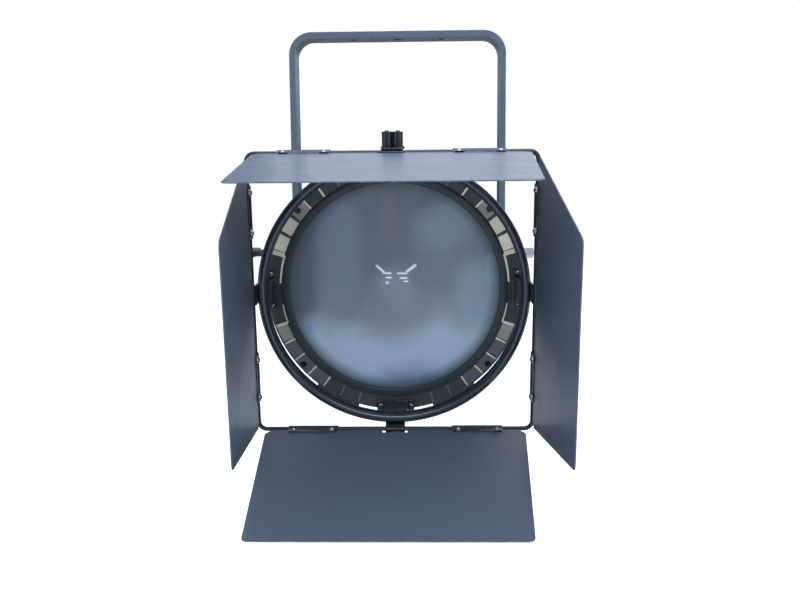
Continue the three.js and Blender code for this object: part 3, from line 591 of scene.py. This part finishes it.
def polar(radius, degrees, back):
    """A point at a radius and a clock angle in the optics frame, degrees counted up from +x."""
    angle = math.radians(degrees)
    return Vector((radius * math.cos(angle), back, radius * math.sin(angle)))


# ---- camera, light and floor ----
CAMERA_AT = Vector((0.0303, -1.2164, -0.2081))
CAMERA_PAN = 1.41
CAMERA_TILT = -7.22
CAMERA_ROLL = -0.51
CAMERA_LENS = 39.4


def make_camera():
    data = bpy.data.cameras.new("camera")
    data.lens = CAMERA_LENS
    data.sensor_width = 36
    camera = bpy.data.objects.new("camera", data)
    camera.matrix_world = (
        Matrix.Translation(CAMERA_AT)
        @ Matrix.Rotation(math.radians(CAMERA_PAN), 4, "Z")
        @ Matrix.Rotation(math.radians(90 + CAMERA_TILT), 4, "X")
        @ Matrix.Rotation(math.radians(CAMERA_ROLL), 4, "Z")
    )
    bpy.context.scene.collection.objects.link(camera)
    bpy.context.scene.camera = camera


def area_light(name, place, target, size, watts, color):
    data = bpy.data.lights.new(name, "AREA")
    data.shape = "RECTANGLE"
    data.size, data.size_y = size
    data.energy = watts
    data.color = color
    light = bpy.data.objects.new(name, data)
    light.location = place
    light.rotation_euler = (Vector(target) - Vector(place)).to_track_quat("-Z", "Y").to_euler()
    bpy.context.scene.collection.objects.link(light)


FLOOR_GAP = 0.12
FLOOR_HALF = 6
# strength of the floor's own light: for most rays, for mirrored ones and for the camera
FLOOR_GLOW = 0.10
FLOOR_GLOW_MIRRORED = 0.35
FLOOR_GLOW_SEEN = 0.95


def make_stage():
    middle = (0, -0.25, -0.3)
    area_light("key_above", (0.1, -0.2, 1.9), middle, (2.6, 2.2), 60, (0.70, 0.84, 1.0))
    area_light("front_high", (0.2, -2.4, 1.2), middle, (2.2, 1.0), 44, (0.86, 0.93, 1.0))
    area_light("fill_left", (-2.2, -1.6, 0.3), middle, (1.2, 1.8), 12, (0.92, 0.96, 1.0))
    area_light("fill_right", (2.2, -1.8, 0.2), middle, (1.4, 1.8), 17, (0.92, 0.96, 1.0))
    area_light("back_rim", (0.4, 2.2, 0.6), middle, (2.0, 1.2), 16, (0.95, 0.97, 1.0))
    world = bpy.data.worlds.new("studio")
    bpy.context.scene.world = world
    world.use_nodes = True
    nodes, links = world.node_tree.nodes, world.node_tree.links
    backdrop = nodes["Background"]
    backdrop.inputs["Color"].default_value = (0.84, 0.91, 1.0, 1)
    backdrop.inputs["Strength"].default_value = 0.32
    seen = nodes.new("ShaderNodeBackground")
    seen.inputs["Color"].default_value = (1, 1, 1, 1)
    seen.inputs["Strength"].default_value = 1.0
    path = nodes.new("ShaderNodeLightPath")
    blend = nodes.new("ShaderNodeMixShader")
    links.new(path.outputs["Is Camera Ray"], blend.inputs["Fac"])
    links.new(backdrop.outputs["Background"], blend.inputs[1])
    links.new(seen.outputs["Background"], blend.inputs[2])
    links.new(blend.outputs["Shader"], nodes["World Output"].inputs["Surface"])
    mesh = bmesh.new()
    bmesh.ops.create_grid(mesh, x_segments=2, y_segments=2, size=FLOOR_HALF)
    data = bpy.data.meshes.new("floor")
    mesh.to_mesh(data)
    mesh.free()
    floor = bpy.data.objects.new("floor", data)
    floor.location = (0, 0, CAD_BOX[0][2] - FLOOR_GAP)
    bpy.context.scene.collection.objects.link(floor)
    shader = Shader("pale_floor", (0.52, 0.54, 0.57), 0.75)
    shader.roughness(shader.ranged(shader.noise(scale=3, detail=4), 0.7, 0.85))
    shader.bsdf.inputs["Emission Color"].default_value = (1, 1, 1, 1)
    path = shader.nodes.new("ShaderNodeLightPath").outputs
    mirrored = shader.ranged(path["Is Glossy Ray"], FLOOR_GLOW, FLOOR_GLOW_MIRRORED, 0.0, 1.0)
    direct = shader.ranged(path["Is Camera Ray"], FLOOR_GLOW, FLOOR_GLOW_SEEN, 0.0, 1.0)
    strength = shader.combined("MAXIMUM", direct, mirrored)
    shader.links.new(strength, shader.bsdf.inputs["Emission Strength"])
    data.materials.append(shader.material)
    bpy.context.scene.view_settings.view_transform = "Standard"


# ---- yoke and tilt hardware ----
GRIP_HALF = 38


def tilt_handle():
    """Clamping lever: a T grip on a thin neck, a stepped hub with a flange, and the steel stud in it."""
    mesh = bmesh.new()
    across = Matrix.Rotation(math.radians(90), 4, "Z")  # y of the lathe along -x
    hub = [(0, 145.0, 0), (14, 145.0), (15, 151), (11, 155), (9, 160), (8.6, 164)]
    neck = [(5.2, 165), (4.9, 201), (0, 201, 0)]
    add_lathe(mesh, rounded(hub + neck, 1.0), 64, across)
    grip = rounded([(-215, -5.5), (-200, -5.5), (-200, 5.5), (-215, 5.5)], 2.5, 5)
    add_prism(mesh, grip, -GRIP_HALF, GRIP_HALF)
    piece("tilt_handle_grip", mesh, PIVOT, "tilt_lock", "grip_plastic",
          ("tilt_lock_handle",), bevel=1.2, segments=3)
    mesh = bmesh.new()
    add_lathe(mesh, [(0, 127), (4.7, 127), (5, 127.6), (5, 150), (0, 150)], 32, across)
    piece("tilt_stud", mesh, PIVOT, "tilt_lock", "zinc_steel")


def hole_liners():
    """Blackened bushings pressed into the three holes of the bar."""
    mesh = bmesh.new()
    for x, radius in BAR_HOLES:
        inner = radius - 0.8
        outer = radius + 0.1
        tube = rounded([(inner, -BAR_THICK), (outer, -BAR_THICK), (outer, 0), (inner, 0)], 0.2, 2)
        add_lathe(mesh, tube, 48, Matrix.Translation((x, 0, 0)) @ UPRIGHT)
    piece("yoke_hole_liners", mesh, Matrix.Scale(MM, 4), "yoke", "black_steel")


def yoke_parts():
    refined("yoke_bracket", 0.9, segments=3)
    refined("pivot_bolt", 0.6)
    refined("tension_nut", 0.6, "nickel")
    hole_liners()
    refined("friction_disc_left", 0.3)
    refined("friction_disc_right", 0.3)
    tilt_handle()


# ---- front of the head ----
# clock angles in degrees, counted up from +x
UPRIGHT_HALF_ANGLE = 11
SIDE_HALF_ANGLE = 17
CELL_MARGIN = 2
# painted light and shade on the cells and ribs, lighter or darker by their height on the ring: tone, and the
# heights on the ring between which it is used
CELL_LIGHT_AND_SHADE = (("light", 18, 27), ("tan", 27, 36), ("mid", 36, 45), ("mid", -27, -18), ("cool", -54, -27))
RIB_LIGHT_AND_SHADE = (("dark", 20, 40), ("light", -60, 60))
BEZEL_SCREW_ANGLES = (40, 140, 220, 320)
LUG_SPANS = ((-128, -107), (-73, -52))
# painted highlights: cream bars beside the side claws that stand for lit edges there
HIGHLIGHT_BAR_ARCS = ((3, 16.6, 2.4), (-17.4, -8, 1.4))  # from, to, width
HIGHLIGHT_BAR_ENDS = ((16.9, 1.2), (-17.6, 0.9))  # at, half-width
# millimetres
BEZEL_SCREWS_R = 138.2
CELL_INNER = BEZEL_BORE_R + 1.6
CELL_OUTER = BEZEL_R - 2.8
CELL_INSET = 1.3
CELL_LEAN_DEGREES = 4
INLAY_BACK = BEZEL_FRONT + 0.3
RIB_FRONT = BEZEL_FRONT - 1.4
RIB_HALF = 1.1
HIGHLIGHT_BAR_FRONT = BEZEL_FRONT - 1.2
HIGHLIGHT_BAR_INNER = BEZEL_BORE_R + 0.2


def on_casting(angle, margin=0):
    """True where the bezel's face is free: clear of its top and bottom and of the side claws."""
    from_upright = abs(angle % 180 - 90)
    return from_upright > UPRIGHT_HALF_ANGLE + margin and 90 - from_upright > SIDE_HALF_ANGLE + margin


def painted_light_at(angle, tones, otherwise):
    """The first tone of painted light and shade whose span holds this angle's height on the ring, the same at the
    left and the right.
    """
    height = math.degrees(math.asin(math.sin(math.radians(angle))))
    for tone, low, high in tones:
        if low < height < high:
            return tone
    return otherwise


def clock_turn(angle):
    """Turns +x to a clock angle of the optics frame."""
    return Matrix.Rotation(-math.radians(angle), 4, "Y")


def annular_bar(mesh, inner, outer, low, high, front, back):
    """A flat arc between two radii and two clock angles in degrees."""
    arc = [low + (high - low) * step / 8 for step in range(9)]
    outline = [polar(outer, angle, 0) for angle in arc]
    outline += [polar(inner, angle, 0) for angle in reversed(arc)]
    add_prism(mesh, [(point.x, point.z) for point in outline], front, back)


def bezel():
    """Cast ring with lugs, its ribs and cells in tones of painted light and shade by their height on the ring,
    cream bars of painted highlight beside the claws, and the screws.
    """
    mesh = bmesh.new()
    section = rounded([
        (BEZEL_BORE_R, BEZEL_FRONT, 0.6), (BEZEL_R, BEZEL_FRONT, 2.5), (BEZEL_R, BEZEL_BACK, 1.2),
        (LENS_SIGHT_R + 0.5, BEZEL_BACK, 0.5), (LENS_SIGHT_R + 0.5, BEZEL_FRONT + 15, 0.5),
        (BEZEL_BORE_R, BEZEL_FRONT + 15, 0.5),
    ], 1, 5)
    add_lathe(mesh, section, 176)
    for low, high in LUG_SPANS:
        annular_bar(mesh, BEZEL_R - 1, LUG_R, low, high, LUG_FRONT, LUG_FRONT + 10)
    piece("bezel_casting", mesh, OPTICS, "head", "cast_paint", ("front_bezel",))
    ribs = {tone: bmesh.new() for tone in ("light", "cool", "dark")}
    cells = {tone: bmesh.new() for tone in ("light", "tan", "mid", "cool", "dark")}
    sweep = math.tan(math.radians(RIB_PITCH / 2))
    inner_half = CELL_INNER * sweep - CELL_INSET
    outer_half = CELL_OUTER * sweep - CELL_INSET
    outline = [(CELL_INNER, -inner_half), (CELL_OUTER, -outer_half), (CELL_OUTER, outer_half),
               (CELL_INNER, inner_half)]
    # painted light and shade: each rib and cell is given a lit or shaded tone by its height on the ring
    for edge in range(0, 360, RIB_PITCH):
        if on_casting(edge):
            low = (CELL_INNER, RIB_FRONT, -RIB_HALF)
            high = (CELL_OUTER, INLAY_BACK, RIB_HALF)
            add_box(ribs[painted_light_at(edge, RIB_LIGHT_AND_SHADE, "cool")], low, high, clock_turn(edge))
        middle = edge + RIB_PITCH / 2
        if on_casting(middle, CELL_MARGIN):
            lean = math.copysign(CELL_LEAN_DEGREES, math.cos(math.radians(middle)))
            tip = Matrix.Translation((0, BEZEL_FRONT, 0)) @ Matrix.Rotation(math.radians(lean), 4, "X")
            cell = cells[painted_light_at(middle, CELL_LIGHT_AND_SHADE, "dark")]
            add_prism(cell, outline, -0.6, 0.9, clock_turn(middle) @ tip)
    for tone, body in ribs.items():
        piece(f"bezel_ribs_{tone}", body, OPTICS, "head", f"painted_light_inlay_{tone}", bevel=0.2)
    for tone, body in cells.items():
        piece(f"bezel_cells_{tone}", body, OPTICS, "head", f"painted_light_inlay_{tone}", bevel=0.25)
    # painted highlights: cream bars beside the side claws
    highlight_bars = bmesh.new()
    for side in (0, 180):
        way = 1 if side == 0 else -1
        for low, high, width in HIGHLIGHT_BAR_ARCS:
            start, end = sorted((side + way * low, side + way * high))
            annular_bar(highlight_bars, HIGHLIGHT_BAR_INNER, HIGHLIGHT_BAR_INNER + width, start, end, HIGHLIGHT_BAR_FRONT, INLAY_BACK)
        for angle, half in HIGHLIGHT_BAR_ENDS:
            add_box(highlight_bars, (HIGHLIGHT_BAR_INNER, HIGHLIGHT_BAR_FRONT, -half), (CELL_OUTER, INLAY_BACK, half),
                    clock_turn(side + way * angle))
    piece("bezel_highlight_bars", highlight_bars, OPTICS, "head", "painted_light_inlay_light", bevel=0.2)
    screws = bmesh.new()
    for angle in BEZEL_SCREW_ANGLES:
        seat = facing(polar(BEZEL_SCREWS_R, angle, BEZEL_FRONT - 0.4), (0, -1, 0))
        add_cap_screw(screws, seat, 3.6, 1.6)
    piece("bezel_screws", screws, OPTICS, "head", "latch_black")


RETAINER_FRONT = 28.5
LENS_BOW = 4
LENS_STEPS = 12
LENS_STEP_DEPTH = 4


def lens_parts():
    """Retaining ring, the slightly domed lens with its fresnel steps on the back, and the gasket."""
    mesh = bmesh.new()
    outer = BEZEL_BORE_R - 0.3
    back = LENS_EDGE_FRONT - 0.3
    section = rounded([
        (LENS_SIGHT_R, RETAINER_FRONT, 1.4), (outer, RETAINER_FRONT, 0.8), (outer, back, 0.3),
        (LENS_SIGHT_R + 1.5, back, 0.3),
    ], 1, 5)
    add_lathe(mesh, section, 176)
    piece("retaining_ring", mesh, OPTICS, "head", "retainer", ("lens_retaining_ring",))
    mesh = bmesh.new()
    lens = []
    bow_points = 24
    for step in range(bow_points + 1):
        share = step / bow_points
        lens.append((LENS_SIGHT_R * share, LENS_EDGE_FRONT - LENS_BOW * (1 - share * share)))
    lens += [(LENS_R, LENS_EDGE_FRONT), (LENS_R, LENS_EDGE_BACK), (LENS_SIGHT_R - 1, LENS_EDGE_BACK)]
    width = (LENS_SIGHT_R - 1) / LENS_STEPS
    for index in range(LENS_STEPS - 1, 0, -1):
        lens.append((width * index + 0.2, LENS_EDGE_BACK + LENS_STEP_DEPTH))
        lens.append((width * index - 0.2, LENS_EDGE_BACK))
    lens.append((0, LENS_EDGE_BACK + LENS_STEP_DEPTH))
    add_lathe(mesh, lens, 144)
    piece("lens_glass", mesh, OPTICS, "head", "frosted_lens", ("fresnel_lens",))
    refined("lens_gasket", 0)


CLAW_PLATE_THICK = 2.3
WASHER_THICK = 0.8


def claws():
    """The three claws, each with two screws on washers and three rivets between them."""
    for side in ("right", "bottom", "left"):
        refined(f"claw_{side}", 0.5, "claw_steel")
        place = quarter_matrix(side)
        front = BEZEL_FRONT - CLAW_PLATE_THICK
        washers = bmesh.new()
        screws = bmesh.new()
        for x in (-CLAW_SCREW_X, CLAW_SCREW_X):
            seat = facing(Vector((x, front, CLAW_R)), (0, -1, 0))
            add_washer(washers, seat, 1.9, 4.6, WASHER_THICK)
            add_button_screw(screws, seat @ Matrix.Translation((0, -WASHER_THICK, 0)), 2.5, 1.7)
        low = front - 0.5
        high = front + 0.5
        rivet = rounded([(0, low, 0), (1.2, low), (1.2, high), (0, high, 0)], 0.3)
        for x in (-9, 0, 9):
            add_lathe(washers, rivet, 24, Matrix.Translation((x, 0, CLAW_R + 1)))
        piece(f"claw_washers_{side}", washers, place, "head", "black_steel")
        piece(f"claw_screws_{side}", screws, place, "head", "nickel")


LATCH_TOP = 174
LATCH_BACK = 25.6
LATCH_HALF = 11.3
PLUNGER_X = 5.9
PLUNGER_TUBE = (2.7, 5.5)  # inner and outer radius


def latch():
    """Two spring barrels side by side in one block, on a foot that is screwed to the bezel."""
    mesh = bmesh.new()
    floor = BEZEL_R + 0.3
    inner, outer = PLUNGER_TUBE
    for x in (-PLUNGER_X, PLUNGER_X):
        tube = [(inner, floor + 0.2), (outer, floor + 0.2), (outer, LATCH_TOP), (inner, LATCH_TOP)]
        add_lathe(mesh, rounded(tube, 0.5, 3), 48, Matrix.Translation((x, LATCH_BACK, 0)) @ UPRIGHT)
    add_box(mesh, (-LATCH_HALF, 27.0, floor), (LATCH_HALF, 30.8, 173.6))
    add_box(mesh, (-11.5, 30.5, floor), (11.5, 54, floor + 3.5))
    piece("latch_barrels", mesh, OPTICS, "head", "latch_black", ("latch_housing",), bevel=0.4)
    screws = bmesh.new()
    for x, direction in ((-LATCH_HALF, (-1, 0, 0)), (LATCH_HALF, (1, 0, 0))):
        add_button_screw(screws, facing(Vector((x, 29.1, 156.5)), direction), 1.7, 1.9)
    for x in (-6, 6):
        add_button_screw(screws, facing(Vector((x, 44, floor + 3.5)), (0, 0, 1)), 3, 1.8)
    piece("latch_screws", screws, OPTICS, "head", "black_steel")
    refined("latch_hook", 0.35, "latch_black")


# ---- housing ----
BARREL_WALL = 2.5
FLANGE_R = BARREL_R + 6
GROOVE_R = BARREL_R - 0.9
COLLAR_R = BARREL_R + 3
BARREL_SCREWS = 12
INSIDE_NODES = (
    "rail_plate_front", "rail_plate_rear", "focus_rail_left", "focus_rail_right", "focus_screw",
    "lamp_carriage", "heat_sink", "led_board", "reflector", "fan_frame", "fan_rotor", "power_supply",
)


def housing():
    """Barrel with its flange, groove, collar, screws and seam, and the CAD solids behind and inside it."""
    mesh = bmesh.new()
    front = BEZEL_BACK + 0.3
    inside = BARREL_R - BARREL_WALL
    section = rounded([
        (inside, front, 0.3), (FLANGE_R, front, 1.0), (FLANGE_R, front + 6, 1.5), (BARREL_R, front + 8, 2),
        (BARREL_R, 96, 0.6), (GROOVE_R, 97, 0.4), (GROOVE_R, 99, 0.4), (BARREL_R, 100, 0.6),
        (BARREL_R, BARREL_BACK - 9, 1.2), (COLLAR_R, BARREL_BACK - 8, 1.0), (COLLAR_R, BARREL_BACK, 0.8),
        (inside, BARREL_BACK, 0.3),
    ], 1, 4)
    add_lathe(mesh, section, 160)
    piece("barrel_shell", mesh, OPTICS, "head", "dark_paint", ("barrel",))
    screws = bmesh.new()
    for index in range(BARREL_SCREWS):
        angle = 15 + 360 / BARREL_SCREWS * index
        outwards = polar(1, angle, 0)
        add_button_screw(screws, facing(polar(BARREL_R - 0.1, angle, 76), outwards), 3, 1.7)
        add_button_screw(screws, facing(polar(BARREL_R + 2.9, angle, BARREL_BACK - 4), outwards), 2.6, 1.4)
    piece("barrel_screws", screws, OPTICS, "head", "black_steel")
    seam = bmesh.new()
    add_box(seam, (-7, 101, -BARREL_R - 0.9), (7, BARREL_BACK - 10, -BARREL_R + 1.5))
    piece("barrel_seam", seam, OPTICS, "head", "dark_paint", bevel=0.5)
    refined("pivot_boss_left", 0.8)
    refined("pivot_boss_right", 0.8)
    refined("rear_housing", 0.5, sharp=30)
    for node in INSIDE_NODES:
        refined(node, 0.2)


# ---- rear panel ----
# (x, z) on the panel, seen from the front
DIAL_AT = (66, 8)
FOCUS_KNOB_AT = (0, -92)
SOCKETS_AT = {"in": (38, -60), "out": (74, -42)}
SOCKET_SCREW = 10.8
SOCKET_PINS = 5
INLET_AT = (-52, -58)
INLET_SCREW_X = 17.3
PANEL_SCREWS = 8
PANEL_SCREWS_R = 110
SIDES_PER_FLUTE = 8


def knurled(mesh, centre, radius, low, high, flutes, depth):
    """A knob along y with soft flutes round its rim and a dished end."""
    sides = flutes * SIDES_PER_FLUTE
    # (radius, y, depth of the flutes)
    section = [(0, low, 0), (radius - 0.6, low, 0), (radius, low + 0.8, 1), (radius, high - 1.4, 1),
               (radius - 1.4, high, 0.5), (radius * 0.62, high, 0), (radius * 0.58, high - 0.7, 0),
               (0, high - 0.7, 0)]
    rings = []
    for reach, along, fluted in section:
        if reach == 0:
            rings.append([mesh.verts.new((centre[0], along, centre[1]))])
            continue
        ring = []
        for side in range(sides):
            angle = 2 * math.pi * side / sides
            dip = depth * fluted * (0.5 + 0.5 * math.cos(flutes * angle)) ** 2
            x = centre[0] + (reach - dip) * math.sin(angle)
            z = centre[1] + (reach - dip) * math.cos(angle)
            ring.append(mesh.verts.new((x, along, z)))
        rings.append(ring)
    for ring, following in zip(rings, rings[1:]):
        bridge(mesh, ring, following)


def rear_panel():
    """The panel with its display, buttons, switch, sockets, knobs, screws, display frame and socket pins."""
    refined("rear_panel", 0.4)
    refined("display_window", 0.5)
    for index in (1, 2, 3):
        refined(f"menu_button_{index}", 0.6)
    refined("power_switch", 0.5)
    refined("power_inlet", 0.5)
    refined("data_socket_in", 0.5)
    refined("data_socket_out", 0.5)
    knob = bmesh.new()
    knurled(knob, DIAL_AT, 13, REAR_BACK + 0.6, REAR_BACK + 15, flutes=18, depth=0.7)
    piece("dial_grip", knob, OPTICS, "dial", "grip_plastic", ("dial_knob",))
    mark = bmesh.new()
    add_box(mark, (65.5, REAR_BACK + 14.2, 10.5), (66.5, REAR_BACK + 14.6, 15.2))
    piece("dial_mark", mark, OPTICS, "dial", "zinc_steel")
    knob = bmesh.new()
    knurled(knob, FOCUS_KNOB_AT, 18, REAR_BACK + 1.5, REAR_BACK + 21.5, flutes=12, depth=1.6)
    piece("focus_grip", knob, OPTICS, "focus_drive", "grip_plastic", ("focus_knob",))
    mark = bmesh.new()
    add_box(mark, (-0.7, REAR_BACK + 20.7, -87), (0.7, REAR_BACK + 21.1, -80.5))
    piece("focus_mark", mark, OPTICS, "focus_drive", "zinc_steel")
    screws = bmesh.new()
    for index in range(PANEL_SCREWS):
        angle = (index + 0.5) * 360 / PANEL_SCREWS
        add_button_screw(screws, facing(polar(PANEL_SCREWS_R, angle, REAR_BACK), (0, 1, 0)), 3.2, 1.8)
    for x, z in SOCKETS_AT.values():
        for corner in (-SOCKET_SCREW, SOCKET_SCREW):
            seat = facing(Vector((x + corner, REAR_BACK + 2.5, z - corner)), (0, 1, 0))
            add_button_screw(screws, seat, 1.9, 1.0)
    for x in (-INLET_SCREW_X, INLET_SCREW_X):
        seat = facing(Vector((INLET_AT[0] + x, REAR_BACK + 2.5, INLET_AT[1])), (0, 1, 0))
        add_button_screw(screws, seat, 1.5, 0.8)
    piece("panel_screws", screws, OPTICS, "head", "zinc_steel")
    trim = bmesh.new()
    outer = rounded([(-40, 28), (40, 28), (40, 72), (-40, 72)], 4, 6)
    inner = rounded([(-34, 34), (34, 34), (34, 66), (-34, 66)], 2, 6)
    front, back = REAR_BACK + 0.3, REAR_BACK + 1.6
    loops = [[trim.verts.new((x, y, z)) for x, z in outline]
             for outline, y in ((outer, front), (outer, back), (inner, back), (inner, front))]
    for index, loop in enumerate(loops):
        bridge(trim, loop, loops[(index + 1) % len(loops)])
    piece("display_trim", trim, OPTICS, "head", "black_plastic", bevel=0.4)
    pin = rounded([(0, 388, 0), (0.9, 388), (0.9, 397), (0, 397.3, 0)], 0.3)
    for way, (x, z) in SOCKETS_AT.items():
        pins = bmesh.new()
        for step in range(SOCKET_PINS):
            add_lathe(pins, pin, 16, Matrix.Translation(Vector((x, 0, z)) + polar(4.6, 18 + 72 * step, 0)))
        piece(f"socket_pins_{way}", pins, OPTICS, "head", "brassy_screw")


# ---- barn door ----
DOME_DEPTH = 4.5
DOME_STEPS = 16
ROD_SIDES = 20
BEND_STEPS = 12


def door_ring():
    """Channel with a domed front, an outer and a back wall, open towards the axis."""
    mesh = bmesh.new()
    middle = (RING_R + RING_BORE_R) / 2
    half = (RING_R - RING_BORE_R) / 2
    dome = []
    for step in range(DOME_STEPS + 1):
        angle = math.pi * step / DOME_STEPS
        dome.append((middle - half * math.cos(angle), DOME_DEPTH * (1 - math.sin(angle)), 0))
    section = dome + [
        (RING_R, RING_DEPTH, 0.8), (RING_BORE_R, RING_DEPTH, 0.6), (RING_BORE_R, RING_DEPTH - 2, 0.6),
        (RING_R - 2, RING_DEPTH - 2, 0.8), (RING_R - 2, 4.6, 1.0), (RING_BORE_R + 0.1, 5.0, 0.3),
    ]
    add_lathe(mesh, rounded(section, 1, 5), 200)
    piece("door_ring", mesh, OPTICS, "barn_door", "ring_paint", ("barndoor_ring",))


def door_frame():
    """Round rod swept round a square with bent corners."""
    mesh = bmesh.new()
    straight = ROD_HALF - ROD_CORNER
    rings = []
    for corner in range(4):
        centre = Matrix.Rotation(math.radians(90 * corner), 2) @ Vector((straight, straight))
        for step in range(BEND_STEPS + 1):
            outward = math.radians(90 * corner + 90 * step / BEND_STEPS)
            ring = []
            for side in range(ROD_SIDES):
                around = 2 * math.pi * side / ROD_SIDES
                reach = ROD_CORNER + ROD_R * math.cos(around)
                x = centre.x + reach * math.cos(outward)
                z = centre.y + reach * math.sin(outward)
                ring.append(mesh.verts.new((x, -ROD_FRONT + ROD_R * math.sin(around), z)))
            rings.append(ring)
    for index, ring in enumerate(rings):
        bridge(mesh, ring, rings[(index + 1) % len(rings)])
    piece("door_rod", mesh, OPTICS, "barn_door", "black_steel", ("rod_frame",))


def frame_brackets():
    for side in SIDES:
        refined(f"frame_bracket_{side}", 0.4)


# half the width near the hinge and at the front
LEAF_SIZES = {"top": (145, 127.5), "right": (148, 98.5), "bottom": (145, 127.5), "left": (148, 98.5)}
TAB_HALF = 5
TAB_NEAR = 4.5
TAB_FAR = 11.2
TAB_LOW = 1.6
TAB_HIGH = 2.4
TAB_SCREW_AT = 7.4
TAB_SCREW_R = 3.4
TAB_SCREW_HEIGHTS = ((-1, 3.4), (1, 1.6))  # side of the leaf and height of the head there


def leaf_sheet(side):
    """Flat sheet with softly cut corners and a notch for the bracket."""
    hinge_half, front_half = LEAF_SIZES[side]
    near = -LEAF_NEAR
    far = -LEAF_LENGTH
    shoulder = near - 11
    outline = rounded([
        (NOTCH_HALF, near, 0.8), (hinge_half - 8, near, 2), (hinge_half, shoulder, 4),
        (front_half, far, 8), (-front_half, far, 8),
        (-hinge_half, shoulder, 4), (-hinge_half + 8, near, 2), (-NOTCH_HALF, near, 0.8),
        (-NOTCH_HALF, near - 8, 1.5), (NOTCH_HALF, near - 8, 1.5),
    ], 1, 8)
    mesh = bmesh.new()
    add_prism(mesh, outline, -LEAF_THICK / 2, LEAF_THICK / 2, IN_LEAF_PLANE)
    piece(f"leaf_sheet_{side}", mesh, hinge_matrix(side), f"door_{side}", "leaf_paint",
          (f"leaf_{side}",), bevel=0.35)


def hinge_clips(side):
    """The two clips of a leaf, each with a tab and a screw at both ends and on both faces."""
    place = hinge_matrix(side)
    for end in ("a", "b"):
        refined(f"hinge_clip_{side}_{end}", 0.2, "clip_steel", sharp=40)
    tabs = bmesh.new()
    screws = bmesh.new()
    for centre in (-CLIP_OFFSET, CLIP_OFFSET):
        for offset in (-1, 1):
            x = centre + offset * (CLIP_LENGTH / 2 - 6.5)
            outline = rounded([
                (x - TAB_HALF, -TAB_FAR, 2.5), (x + TAB_HALF, -TAB_FAR, 2.5), (x + TAB_HALF, -TAB_NEAR, 1),
                (x - TAB_HALF, -TAB_NEAR, 1),
            ], 1, 5)
            for face, height in TAB_SCREW_HEIGHTS:
                low, high = sorted((face * TAB_LOW, face * TAB_HIGH))
                add_prism(tabs, outline, low, high, IN_LEAF_PLANE)
                seat = facing(Vector((x, -TAB_SCREW_AT, face * TAB_HIGH)), (0, 0, face))
                add_button_screw(screws, seat, TAB_SCREW_R, height)
    piece(f"clip_tabs_{side}", tabs, place, f"door_{side}", "clip_steel", bevel=0.2)
    piece(f"clip_screws_{side}", screws, place, f"door_{side}", "clip_screw")


make_camera()
make_stage()
yoke_parts()
bezel()
lens_parts()
claws()
latch()
housing()
rear_panel()
door_ring()
door_frame()
frame_brackets()
for leaf_side in SIDES:
    leaf_sheet(leaf_side)
    hinge_clips(leaf_side)
